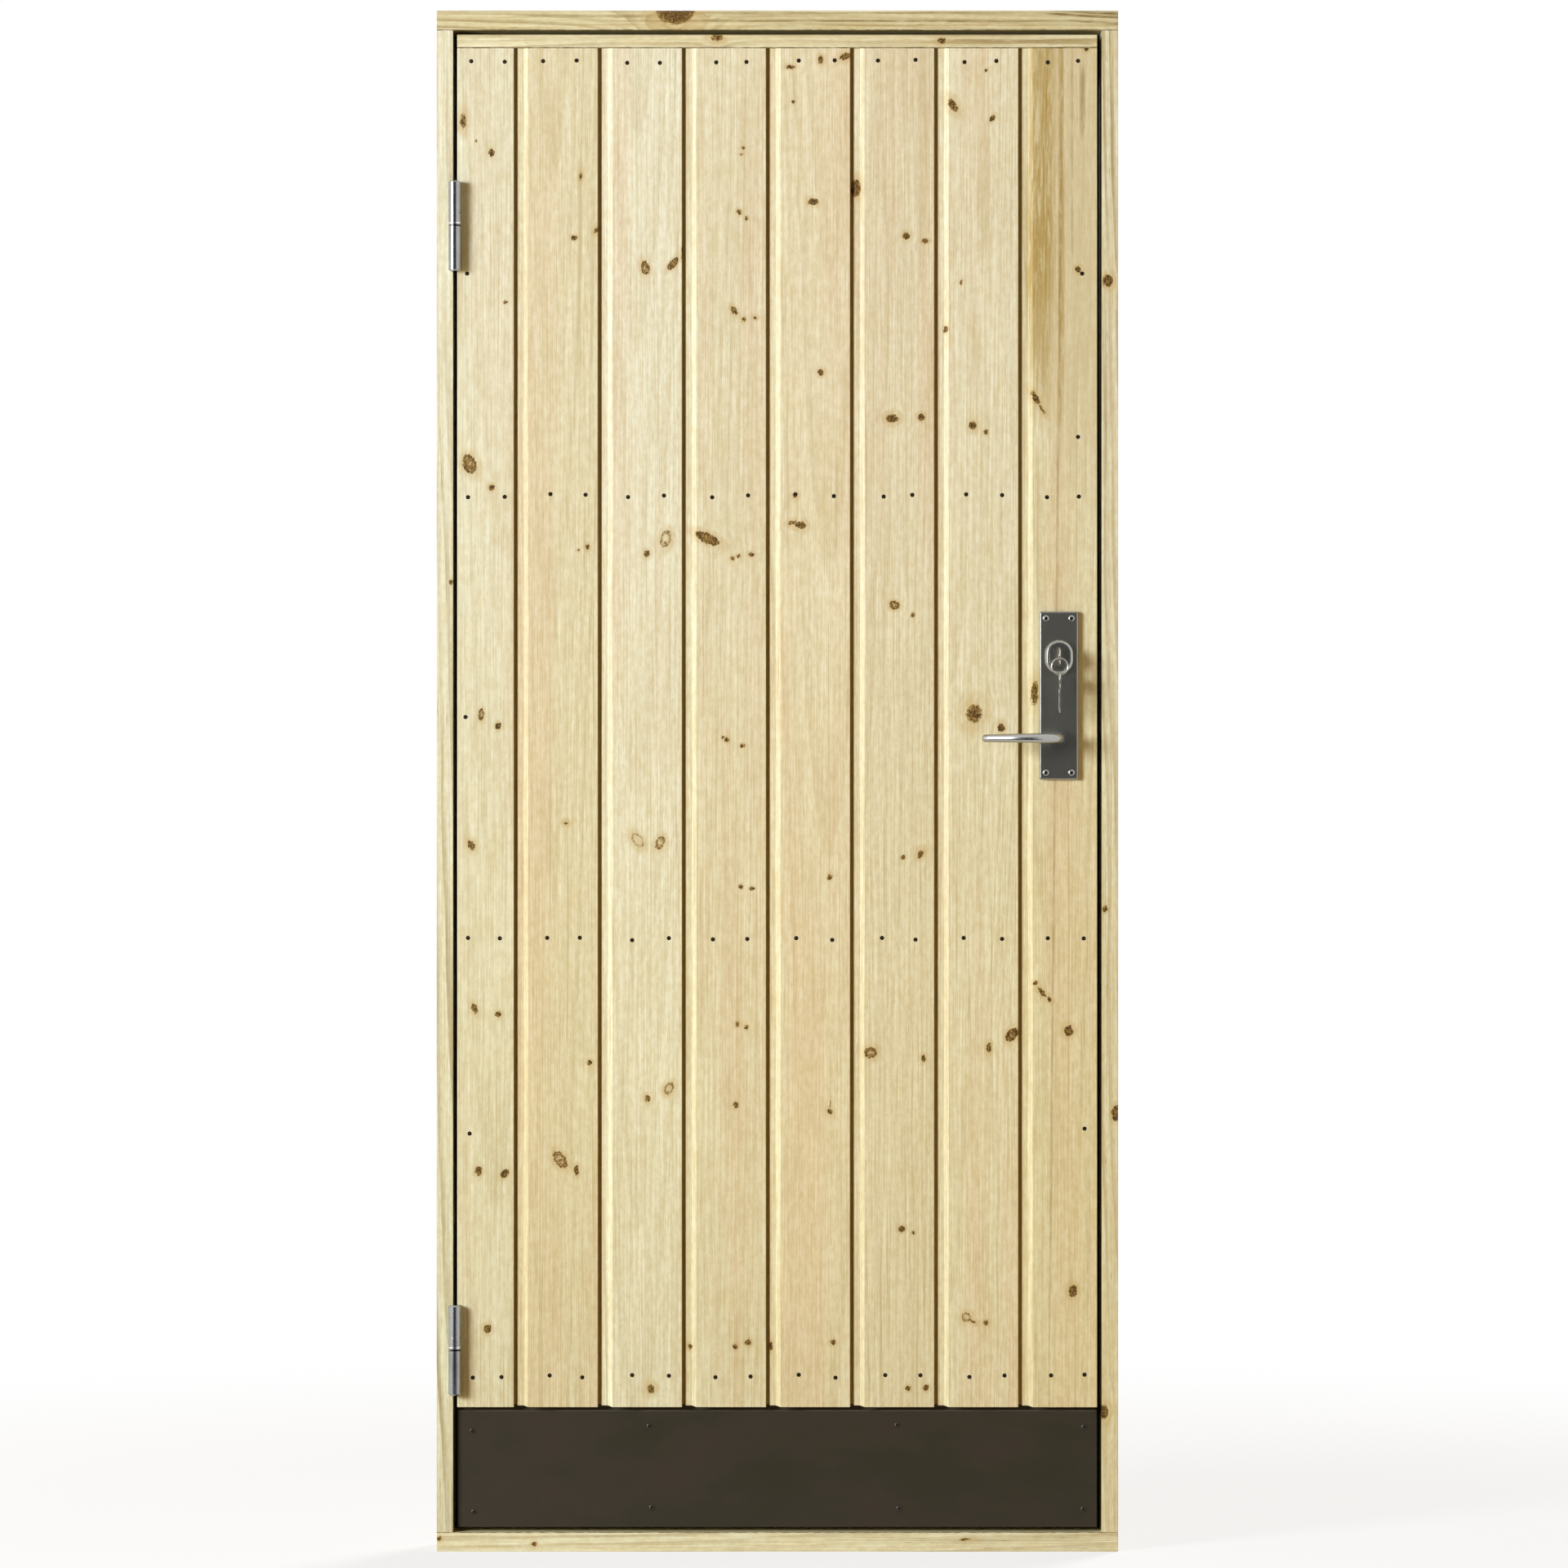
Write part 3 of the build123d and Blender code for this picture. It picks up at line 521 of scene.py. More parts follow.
def metal(name, colour, rough, brushed=(1, 1, 1), spots=0.3, darker=0.8, uneven=0.0, rings=()):
    """Metal with fine brush lines, faint clouds and dull spots.

    uneven makes the face wavy, as a zinc bath does. rings are (height, half width, tone).
    """
    material, n, shader = new_material(name)
    place = n.place()
    lines = n.noise(n.scaled(place, tuple(BRUSH_LINES * b for b in brushed)), detail=2)
    cloud = n.noise(n.scaled(place, (40, 40, 25)), detail=3)
    dull = n.ramp(n.noise(n.scaled(place, (260, 260, 200)), detail=2), 0.62, 0.74, 0.0, spots)
    dim = tuple(c * darker for c in colour[:3]) + (1,)
    face = n.mix(n.math("MAXIMUM", dull, n.ramp(cloud, 0.35, 0.8, 0.0, 0.5)), colour, dim)
    z = n.split(place)[2]
    for height, half_width, tone in rings:
        away = n.math("ABSOLUTE", n.math("SUBTRACT", z, height))
        face = n.mix(n.ramp(away, half_width, half_width * 0.5), face, tone)
    n.put(shader.inputs["Base Color"], face)
    shine = n.math("MULTIPLY_ADD", dull, DULL_ROUGHER, rough - LINES_ROUGHER / 2)
    n.put(shader.inputs["Roughness"], n.math("MULTIPLY_ADD", lines, LINES_ROUGHER, shine))
    shader.inputs["Metallic"].default_value = 1.0
    waves = n.noise(n.scaled(place, (330, 330, 240)), detail=2)
    height = n.math("MULTIPLY_ADD", waves, uneven, lines)
    n.put(shader.inputs["Normal"], n.bump(height, *METAL_BUMP))
    return material


def gap_shade_rubber():
    """Black, a little dusty: painted shade that darkens the gap round the leaf."""
    material, n, shader = new_material("gap_shade_rubber")
    dust = n.noise(n.scaled(n.place(), (300, 300, 60)), detail=3)
    colour = n.mix(n.ramp(dust, 0.5, 0.9, 0.0, 0.4), GAP_SHADE_BLACK, GAP_SHADE_SPECKS)
    n.put(shader.inputs["Base Color"], colour)
    n.put(shader.inputs["Roughness"], n.ramp(dust, 0.3, 0.8, 0.55, 0.75))
    n.put(shader.inputs["Normal"], n.bump(dust, 0.3, 0.0002))
    return material


NAIL_ROUGHNESS = 0.7
NAIL_SPECULAR = 0.15


def dark_nail_and_shade():
    """Dark steel with a little rust, near black as painted shade: of the nails' holes and the
    screws' cross recesses.
    """
    material, n, shader = new_material("nail_steel_and_shade")
    rust = n.noise(n.scaled(n.place(), (900, 900, 900)), detail=2)
    n.put(shader.inputs["Base Color"], n.mix(n.ramp(rust, 0.4, 0.7), NAIL, NAIL_RUST))
    shader.inputs["Roughness"].default_value = NAIL_ROUGHNESS
    shader.inputs["Specular IOR Level"].default_value = NAIL_SPECULAR
    return material


class Knot(NamedTuple):
    """A knot in the photograph: its middle and size in pixels, its tilt in degrees."""
    px: float
    py: float
    width: float
    height: float
    tilt: float = 0
    faint: float = 0
    ringed: bool = False


KNOTS = {
    "board_1": [
        Knot(602, 187, 7, 9), Knot(567, 148, 9, 24, faint=0.5), Knot(583, 173, 3, 4, faint=0.42),
        Knot(575, 568, 17, 26, tilt=-20, faint=0.42, ringed=True), Knot(602, 597, 7, 7),
        Knot(589, 875, 8, 15, faint=0.4, ringed=True), Knot(610, 889, 7, 8),
        Knot(577, 1035, 9, 15, tilt=-25, faint=0.35), Knot(581, 1235, 8, 13, tilt=-20, faint=0.15),
        Knot(610, 1242, 7, 7), Knot(586, 1434, 8, 12), Knot(618, 1437, 8, 12, tilt=40),
        Knot(597, 1627, 9, 10), Knot(619, 370, 4, 4),
    ],
    "board_2": [
        Knot(703, 291, 7, 5, tilt=10), Knot(719, 670, 6, 7, faint=0.3),
        Knot(708, 674, 4, 4, faint=0.7), Knot(693, 1008, 9, 7, faint=0.84), Knot(722, 1301, 5, 6),
        Knot(686, 1420, 15, 27, tilt=-40, faint=0.55, ringed=True),
        Knot(686, 1421, 5, 5, faint=0.4), Knot(706, 1433, 6, 11), Knot(711, 216, 5, 14, faint=0.7),
        Knot(730, 282, 6, 12, tilt=20, faint=0.6),
    ],
    "board_3": [
        Knot(790, 328, 11, 19, tilt=-10, faint=0.45, ringed=True), Knot(792, 327, 5, 7, faint=0.5),
        Knot(824, 323, 9, 20, tilt=40, faint=0.3, ringed=True),
        Knot(815, 660, 15, 24, tilt=10, faint=0.7, ringed=True), Knot(815, 664, 6, 6, faint=0.7),
        Knot(792, 678, 8, 9, faint=0.3), Knot(781, 1029, 14, 24, tilt=-35, faint=0.75, ringed=True),
        Knot(808, 1032, 12, 19, tilt=20, faint=0.6, ringed=True),
        Knot(819, 1333, 12, 18, tilt=30, faint=0.65, ringed=True),
        Knot(793, 1345, 8, 10, tilt=-30, faint=0.4), Knot(797, 1701, 11, 14, faint=0.45),
        Knot(837, 309, 6, 16),
    ],
    "board_4": [
        Knot(910, 181, 5, 4, faint=0.3), Knot(908, 189, 5, 3, faint=0.4),
        Knot(905, 260, 5, 7, tilt=-30), Knot(914, 267, 4, 5),
        Knot(899, 380, 6, 12, tilt=-35, faint=0.15), Knot(911, 391, 5, 5),
        Knot(866, 659, 34, 13, tilt=25, faint=0.38, ringed=True), Knot(897, 684, 5, 4),
        Knot(904, 681, 4, 4), Knot(920, 679, 7, 5), Knot(885, 903, 4, 4, faint=0.3),
        Knot(890, 906, 6, 6, faint=0.2), Knot(909, 913, 6, 5), Knot(907, 1086, 5, 6),
        Knot(921, 1088, 6, 4), Knot(903, 1254, 5, 6), Knot(914, 1258, 5, 5, faint=0.2),
        Knot(901, 1353, 6, 8), Knot(900, 1649, 6, 6), Knot(916, 1644, 7, 7),
        Knot(925, 389, 7, 5, faint=0.7), Knot(845, 1649, 8, 9, faint=0.6),
    ],
    "board_5": [
        Knot(968, 82, 11, 5, faint=0.2), Knot(1005, 73, 7, 10, faint=0.15),
        Knot(1035, 69, 16, 9, tilt=-20, faint=0.35), Knot(996, 247, 12, 8), Knot(1005, 456, 7, 8),
        Knot(970, 640, 15, 8, tilt=-10, faint=0.75), Knot(980, 643, 15, 10, tilt=10, faint=0.25),
        Knot(973, 607, 8, 8, faint=0.56), Knot(1016, 1074, 5, 7), Knot(1016, 1361, 6, 7),
        Knot(1017, 1351, 2, 12, faint=0.5), Knot(1020, 1644, 7, 6), Knot(971, 125, 4, 4),
        Knot(944, 1649, 5, 11, faint=0.2),
    ],
    "board_6": [
        Knot(1110, 289, 8, 9), Knot(1133, 295, 8, 5), Knot(1093, 512, 17, 11, faint=0.3),
        Knot(1128, 511, 8, 8), Knot(1095, 741, 14, 11, tilt=30, faint=0.45, ringed=True),
        Knot(1118, 753, 4, 5), Knot(1106, 1050, 5, 5), Knot(1127, 1046, 8, 13, tilt=20, faint=0.45),
        Knot(1066, 1289, 17, 15, faint=0.5, ringed=True), Knot(1131, 1296, 6, 9, faint=0.2),
        Knot(1104, 1505, 8, 7), Knot(1118, 1510, 4, 4), Knot(1112, 1700, 6, 6),
        Knot(1134, 1699, 7, 8, faint=0.3), Knot(1048, 230, 13, 22, faint=0.2),
    ],
    "board_7": [
        Knot(1167, 129, 12, 22, tilt=-35, faint=0.5), Knot(1215, 145, 6, 9, tilt=35, faint=0.1),
        Knot(1158, 403, 5, 8), Knot(1191, 521, 11, 12, faint=0.35), Knot(1207, 529, 5, 6),
        Knot(1239, 1267, 13, 20, tilt=35, faint=0.3, ringed=True),
        Knot(1211, 1283, 7, 12, faint=0.2), Knot(1183, 1613, 13, 13, faint=0.65, ringed=True),
        Knot(1191, 1618, 15, 6, tilt=25, faint=0.8), Knot(1207, 1620, 6, 6),
        Knot(1193, 874, 24, 28, tilt=15, faint=0.5), Knot(1226, 891, 11, 12, faint=0.4),
        Knot(1207, 86, 3, 4), Knot(1177, 346, 3, 5),
    ],
    "board_8": [
        Knot(1320, 330, 8, 8), Knot(1268, 487, 8, 24, tilt=-30, faint=0.5),
        Knot(1276, 501, 6, 20, tilt=-35, faint=0.7), Knot(1268, 1204, 6, 5, faint=0.3),
        Knot(1276, 1215, 7, 19, tilt=-40, faint=0.45),
        Knot(1285, 1223, 5, 10, tilt=-30, faint=0.55), Knot(1309, 1262, 11, 12),
        Knot(1314, 1581, 10, 15, faint=0.1), Knot(1330, 60, 7, 6, faint=0.3),
        Knot(1267, 849, 11, 36, tilt=4, faint=0.45),
    ],
    "top_strip": [
        Knot(878, 46, 20, 12, faint=0.63), Knot(1153, 50, 9, 7),
    ],
    "head_jamb": [
        Knot(827, 11, 31, 25, faint=0.95), Knot(827, 11, 39, 31, ringed=True),
        Knot(827, 11, 54, 42, faint=0.6, ringed=True),
    ],
    "right_jamb": [
        Knot(1356.5, 344, 12, 14), Knot(1353, 1113, 6, 7), Knot(1366.5, 1363, 10, 18, ringed=True),
        Knot(1351, 1729, 13, 19, faint=0.3),
    ],
    "left_jamb": [
        Knot(552, 713, 5, 7, faint=0.28),
    ],
    "sill": [
        Knot(538, 1884, 6, 6, faint=0.28), Knot(654, 1891, 7, 6, faint=0.28),
        Knot(1182, 1885, 18, 4, tilt=8, faint=0.6),
    ],
}


class Streak(NamedTuple):
    """A darker band along the grain, in pixels of the photograph; it may run past the piece.

    lean is how far its upper end stands to the right of its foot, or its right end above its
    left one.
    """
    left: float
    top: float
    right: float
    bottom: float
    tone: tuple
    amount: float
    lean: float = 0


STREAKS = {
    "board_2": [
        Streak(707, 180, 712, 460, BOARD_LATE, 0.7), Streak(722, 200, 727, 440, BOARD_LATE, 0.6),
    ],
    "board_6": [
        Streak(1123, 60, 1136, 290, BOARD_LATE, 0.45),
    ],
    "board_7": [
        Streak(1202, 150, 1212, 300, BOARD_LATE, 0.55),
    ],
    "board_8": [
        Streak(1286, -90, 1352, 540, DULL_YELLOW, 0.75), Streak(1257, -70, 1291, 390, GOLDEN, 1.0),
        Streak(1260, 240, 1286, 500, GOLDEN, 0.7), Streak(1296, -70, 1303, 500, GOLDEN, 0.8),
        Streak(1322, 85, 1328, 168, KNOT_BROWN, 0.65),
        Streak(1291, 50, 1294, 1690, KNOT_BROWN, 0.5, lean=16),
        Streak(1311, 50, 1314, 330, KNOT_BROWN, 0.35),
    ],
    "top_strip": [
        Streak(1150, 48, 1345, 54, FRAME_LATE, 0.9), Streak(700, 42, 1000, 44, FRAME_LATE, 0.4),
    ],
    "head_jamb": [
        Streak(780, 24, 1345, 27, STREAK_DARK, 0.8),
        Streak(1275, 12, 1375, 16, STREAK_DARK, 1.0, lean=-7),
        Streak(1285, 18, 1385, 21, STREAK_DARK, 1.0, lean=-6),
        Streak(1310, 26, 1385, 29, STREAK_DARK, 0.9, lean=-5),
        Streak(640, 18, 800, 21, STREAK_DARK, 0.6), Streak(850, 15, 1240, 17, STREAK_DARK, 0.7),
        Streak(1000, 30, 1300, 32, GOLDEN, 0.7),
    ],
}

# The frame's pieces: name, grain, where the pith lies across and through it, and the joint that
# shows on it: whose end it follows, and which (0 its foot, 1 its top)
FRAME_PIECES = (
    ("top_strip", "X", (1.9, 0.05), "board_2", 1),
    ("head_jamb", "X", (2.02, 0.03), "left_jamb", 1),
    ("sill", "X", (-0.02, 0.05), "left_jamb", 0),
    ("left_jamb", "Z", (-0.40, 0.06), "left_jamb", 1),
    ("right_jamb", "Z", (0.47, 0.05), "right_jamb", 1),
)
FRAME_CONTRAST = 0.95
FRAME_WAVE = 2.0

# How much darker or lighter than the others a piece is, as a colour to multiply by
SHADES = {
    "head_jamb": (0.880, 0.840, 0.720, 1),
    "sill": (1.100, 1.110, 1.140, 1),
    "top_strip": (0.950, 0.930, 0.860, 1),
    "left_jamb": (0.970, 1.010, 1.090, 1),
    "board_1": (0.945, 0.990, 1.090, 1),
    "board_2": (0.940, 0.950, 0.980, 1),
    "board_3": (1.010, 1.060, 1.200, 1),
    "board_4": (0.970, 0.985, 1.040, 1),
    "board_5": (1.010, 1.010, 1.060, 1),
    "board_6": (0.980, 0.985, 1.040, 1),
    "board_7": (1.020, 1.045, 1.120, 1),
    "board_8": (1.000, 1.010, 1.020, 1),
}

# The boards differ: how far the pith lies from the left edge and behind the frame's middle, the
# rings' width, both in metres, and how dark the latewood is
BOARD_PITH_IN = (0.01, 0.09)
BOARD_PITH_BACK = (0.04, 0.13)
BOARD_RING = (0.0032, 0.0052)
BOARD_CONTRAST = (0.30, 0.50)

# The pieces behind them: seed and pith
RAIL_SEED, RAIL_PITH = 21, (1.0, 0.2)
STILE_SEED, STILE_PITH = 22, (0.3, 0.2)


def assign(material, *names):
    """Gives CAD pieces a material."""
    for name in names:
        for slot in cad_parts[name].material_slots:
            slot.material = material


# Corners this close are one, faces within this angle are one, and edges from this angle are eased
SAME_POINT = 0.00001
SAME_FACE = math.radians(0.5)
EASED_FROM = math.radians(40)
EASE_STEPS = 2


def soften(width, *names):
    """Eases the edges of CAD pieces a little, as sandpaper and wear do."""
    for name in names:
        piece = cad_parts[name]
        weld = piece.modifiers.new("weld", "WELD")
        weld.merge_threshold = SAME_POINT
        flat = piece.modifiers.new("flat faces", "DECIMATE")
        flat.decimate_type = "DISSOLVE"
        flat.angle_limit = SAME_FACE
        bevel = piece.modifiers.new("eased edges", "BEVEL")
        bevel.width = width
        bevel.segments = EASE_STEPS
        bevel.limit_method = "ANGLE"
        bevel.angle_limit = EASED_FROM
        bevel.harden_normals = True


BOARDS = [f"board_{number}" for number in range(1, 9)]


def dress_wood():
    """Every board and piece of the frame has its own wood; rails share one, and so do stiles."""
    board_tones = (BOARD_EARLY, BOARD_LATE, BOARD_WARM)
    frame_tones = (FRAME_EARLY, FRAME_LATE, BOARD_EARLY)
    for number, name in enumerate(BOARDS, 1):
        low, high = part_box(name)
        pith = (low[0] + random.uniform(*BOARD_PITH_IN), random.uniform(*BOARD_PITH_BACK))
        ring = random.uniform(*BOARD_RING)
        contrast = random.uniform(*BOARD_CONTRAST)
        assign(pine(name, board_tones, number, "Z", KNOTS[name], STREAKS.get(name, ()), ring, pith,
                    contrast, joint=high[2], shaded_grooves=True, shade=SHADES[name]), name)
    for name, grain, pith, other, end in FRAME_PIECES:
        assign(pine(name, frame_tones, len(name), grain, KNOTS[name], STREAKS.get(name, ()),
                    pith=pith, contrast=FRAME_CONTRAST, wave=FRAME_WAVE,
                    joint=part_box(other)[end][2], shade=SHADES.get(name)), name)
    rails = pine("rails", board_tones, RAIL_SEED, "X", pith=RAIL_PITH, shaded_front=True)
    stiles = pine("stiles", board_tones, STILE_SEED, "Z", pith=STILE_PITH, shaded_front=True)
    assign(rails, "top_rail", "upper_rail", "lower_rail", "bottom_rail", "foot_rail")
    assign(stiles, "hinge_stile", "lock_stile")


def add_mesh(name, work, material, body):
    """Makes a piece of the mesh in work, on its body and in its slot."""
    mesh = bpy.data.meshes.new(name)
    work.to_mesh(mesh)
    work.free()
    mesh.materials.append(material)
    piece = bpy.data.objects.new(name, mesh)
    bpy.context.scene.collection.objects.link(piece)
    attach(piece, body)
    return piece


def facing(x, y, z, outward, turn=0.0):
    """A frame at a point whose +Z is the outward direction."""
    rotation = Vector(outward).to_track_quat("Z", "Y").to_matrix().to_4x4()
    return Matrix.Translation((x, y, z)) @ rotation @ Matrix.Rotation(turn, 4, "Z")


def on_circle(step, steps):
    angle = 2 * math.pi * step / steps
    return math.cos(angle), math.sin(angle)


def spin_profile(work, profile, place, steps):
    """Turns a profile of (radius, height) round an axis; place carries +Z outwards."""
    rings = []
    for radius, height in profile:
        ring = []
        for step in range(steps if radius else 1):
            a, b = on_circle(step, steps)
            ring.append(work.verts.new(place @ Vector((radius * a, radius * b, height))))
        rings.append(ring)
    for low, high in zip(rings, rings[1:]):
        for step in range(steps):
            after = (step + 1) % steps
            corners = [low[step], low[after], high[after % len(high)], high[step % len(high)]]
            face = work.faces.new(list(dict.fromkeys(corners)))
            face.smooth = True


# Nail heads: radius and height, from the rim to the sunk middle; and their rows in the photograph
NAIL_PROFILE = [(0.0028, -0.0004), (0.0028, 0.0001), (0.0022, 0.0003), (0.0013, 0.0001),
                (0, 0.0001)]
NAIL_STEPS = 14
NAIL_SCATTER = 2
NAIL_ROWS = [
    (75, (577, 618, 665, 706, 768, 808, 877, 914,
          978, 1022, 1075, 1121, 1181, 1220, 1283, 1320)),
    (607, (573, 618, 674, 717, 769, 813, 872, 916,
          974, 1021, 1082, 1117, 1183, 1227, 1282, 1321)),
    (1150, (573, 612, 670, 710, 774, 819, 873, 915,
          975, 1019, 1080, 1121, 1180, 1227, 1283, 1327)),
    (1685, (579, 614, 673, 713, 774, 819, 876, 919,
          978, 1023, 1084, 1127, 1187, 1230, 1287, 1328)),
]
EDGE_NAILS = [(572, 335), (1325, 335), (570, 878), (1320, 535), (575, 1388), (1328, 1382)]


def add_nails(material):
    """Small sunk heads, two to a board at each rail and a few into the stiles."""
    work = bmesh.new()
    points = []
    for py, row in NAIL_ROWS:
        for px in row:
            points.append((px, py + random.uniform(-NAIL_SCATTER, NAIL_SCATTER)))
    for px, py in points + EDGE_NAILS:
        x, z = from_photo(px, py)
        spin_profile(work, NAIL_PROFILE, facing(x, FRONT_Y, z, (0, -1, 0)), NAIL_STEPS)
    add_mesh("nails", work, material, "leaf")


# A screw's head, as shares of its radius and height: its rings, how far it is domed, the cross
# recess, and how far its edge goes into the surface
SCREW_STEPS = 40
SCREW_RINGS = (0, 0.10, 0.25, 0.40, 0.54, 0.57, 0.72, 0.88, 0.97, 1.0)
SCREW_DOME = 0.97
SMOOTH_FROM_RING = 6
CROSS_LENGTH = 0.55
CROSS_HALF_WIDTH = 0.115
CROSS_DEPTH = 0.7
SCREW_SUNK = 0.3

# Radius and height of the heads
KICK_SCREW = (0.0038, 0.0012)
PLATE_SCREW = (0.0042, 0.0020)
HINGE_SCREW = (0.0042, 0.0003)

# The kick plate's screws in the photograph
KICK_SCREW_SPOTS = [
    (578, 1753), (795, 1747), (1099, 1746), (1328, 1748),
    (580, 1852), (798, 1847), (1101, 1848), (1327, 1849),
]

# How far the plates' screws are in from the sides and from the ends
PLATE_SCREW_IN = 0.0085
PLATE_SCREW_END = 0.009

# The hinges' flaps: where their inner faces lie, how far the frame's flap's middle is below the
# pin's top, and how far the screws are above and below the middle, and in from the back edge
FLAP_FACE_X = {"frame": -0.419, "leaf": -0.4135}
FLAP_MIDDLE_DOWN = 0.069
FLAP_SCREW_RISE = 0.017
FLAP_SCREW_IN = 0.010

# A head is turned by a random angle up to this, in radians
MOST_TURN = 3


def in_cross(a, b):
    """Whether a point of a head of radius 1 lies in the cross recess."""
    long, short = max(abs(a), abs(b)), min(abs(a), abs(b))
    return long < CROSS_LENGTH and short < CROSS_HALF_WIDTH


def add_screw(work, place, radius, height):
    """One head: rings of corners from its middle to its sunk edge."""
    rings = []
    for part in SCREW_RINGS:
        ring = []
        for step in range(SCREW_STEPS if part else 1):
            a, b = (part * side for side in on_circle(step, SCREW_STEPS))
            rise = math.sqrt(1 - SCREW_DOME * part ** 4) * (1 - CROSS_DEPTH * in_cross(a, b))
            ring.append(work.verts.new(place @ Vector((radius * a, radius * b, height * rise))))
        rings.append(ring)
    sunk = place.to_3x3() @ Vector((0, 0, height * SCREW_SUNK))
    rings.append([work.verts.new(vert.co - sunk) for vert in rings[-1]])
    for number, (low, high) in enumerate(zip(rings, rings[1:])):
        part = SCREW_RINGS[number]
        for step in range(SCREW_STEPS):
            after = (step + 1) % SCREW_STEPS
            corners = [low[step % len(low)], low[after % len(low)], high[after], high[step]]
            face = work.faces.new(list(dict.fromkeys(corners))[::-1])
            a, b = (part * side for side in on_circle(step + 0.5, SCREW_STEPS))
            # The cross recess gets the second, near-black material: painted shade in the recess
            face.material_index = int(in_cross(a, b))
            face.smooth = number >= SMOOTH_FROM_RING


def add_screws(name, places, size, metal_face, recess_shade, body):
    """Low domed heads, each with a cross recess cut into it."""
    work = bmesh.new()
    for x, y, z, outward in places:
        add_screw(work, facing(x, y, z, outward, random.uniform(0, MOST_TURN)), *size)
    piece = add_mesh(name, work, metal_face, body)
    piece.data.materials.append(recess_shade)


def add_kick_screws(metal_face, recess_shade):
    """The kick plate's screws, where the photograph has them."""
    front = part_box("kick_plate")[0][1]
    places = []
    for px, py in KICK_SCREW_SPOTS:
        x, z = from_photo(px, py)
        places.append((x, front, z, (0, -1, 0)))
    add_screws("kick_screws", places, KICK_SCREW, metal_face, recess_shade, "leaf")


def add_plate_screws(metal_face, recess_shade):
    """Four screws near the corners of each long plate."""
    for name, side in (("outer_plate", -1), ("inner_plate", 1)):
        low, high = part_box(name)
        face = low[1] if side < 0 else high[1]
        places = []
        for x in (low[0] + PLATE_SCREW_IN, high[0] - PLATE_SCREW_IN):
            for z in (low[2] + PLATE_SCREW_END, high[2] - PLATE_SCREW_END):
                places.append((x, face, z, (0, side, 0)))
        add_screws(name + "_screws", places, PLATE_SCREW, metal_face, recess_shade, "leaf")


def add_hinge_screws(metal_face, recess_shade):
    """Countersunk heads in the flaps, two to a flap, seen when the door is open."""
    for which in ("upper", "lower"):
        for body, side in (("frame", 1), ("leaf", -1)):
            node = f"{which}_{body}_hinge"
            low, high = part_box(node)
            middle = high[2] - FLAP_MIDDLE_DOWN if body == "frame" else (low[2] + high[2]) / 2
            places = []
            for rise in (-FLAP_SCREW_RISE, FLAP_SCREW_RISE):
                y, z = high[1] - FLAP_SCREW_IN, middle + rise
                places.append((FLAP_FACE_X[body], y, z, (side, 0, 0)))
            add_screws(node + "_screws", places, HINGE_SCREW, metal_face, recess_shade, body)


# The frame's stop, which the leaf shuts against, and how far the strip of painted shade stays back
# from its edge
STOP_WIDTH = 0.015
STOP_FACE_Y = 0.0055
GAP_SHADE_SEAL_BACK = 0.0006

# The profile of the strip of painted shade: across the stop and forward of it
GAP_SHADE_SEAL_PROFILE = [(0.0, 0.0), (0.0, 0.0024), (0.002, 0.0038), (0.005, 0.0042), (0.008, 0.0034),
                (0.0095, 0.0)]


def add_gap_shade_seal(material):
    """A black strip round the frame's stop, painted shade that makes the gap round the leaf dark.
    """
    work = bmesh.new()
    onto_stop = STOP_WIDTH - GAP_SHADE_SEAL_BACK
    half_x = -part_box("left_jamb")[1][0] + onto_stop
    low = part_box("sill")[1][2] - onto_stop
    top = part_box("head_jamb")[0][2] + onto_stop
    loops = []
    for across, forward in GAP_SHADE_SEAL_PROFILE:
        left, right = across - half_x, half_x - across
        corners = [(left, low + across), (right, low + across),
                   (right, top - across), (left, top - across)]
        loops.append([work.verts.new((x, STOP_FACE_Y - forward, z)) for x, z in corners])
    for first, second in zip(loops, loops[1:]):
        for corner in range(4):
            after = (corner + 1) % 4
            face = work.faces.new([first[corner], first[after], second[after], second[corner]])
            face.smooth = True
    add_mesh("gap_shade_seal", work, material, "frame")


# The split in a hinge, from the upper half's foot: a ring of painted highlight above it and
# painted shade in it, each as (rise, half width, tone)
HINGE_RINGS = ((0.0028, 0.0012, ZINC_HIGHLIGHT), (-0.0006, 0.0014, SPLIT_SHADE))

# How far edges are eased
FRAME_EASE = 0.0007
BOARD_EASE = 0.0004
METAL_EASE = 0.0003

RANDOM_SEED = 11


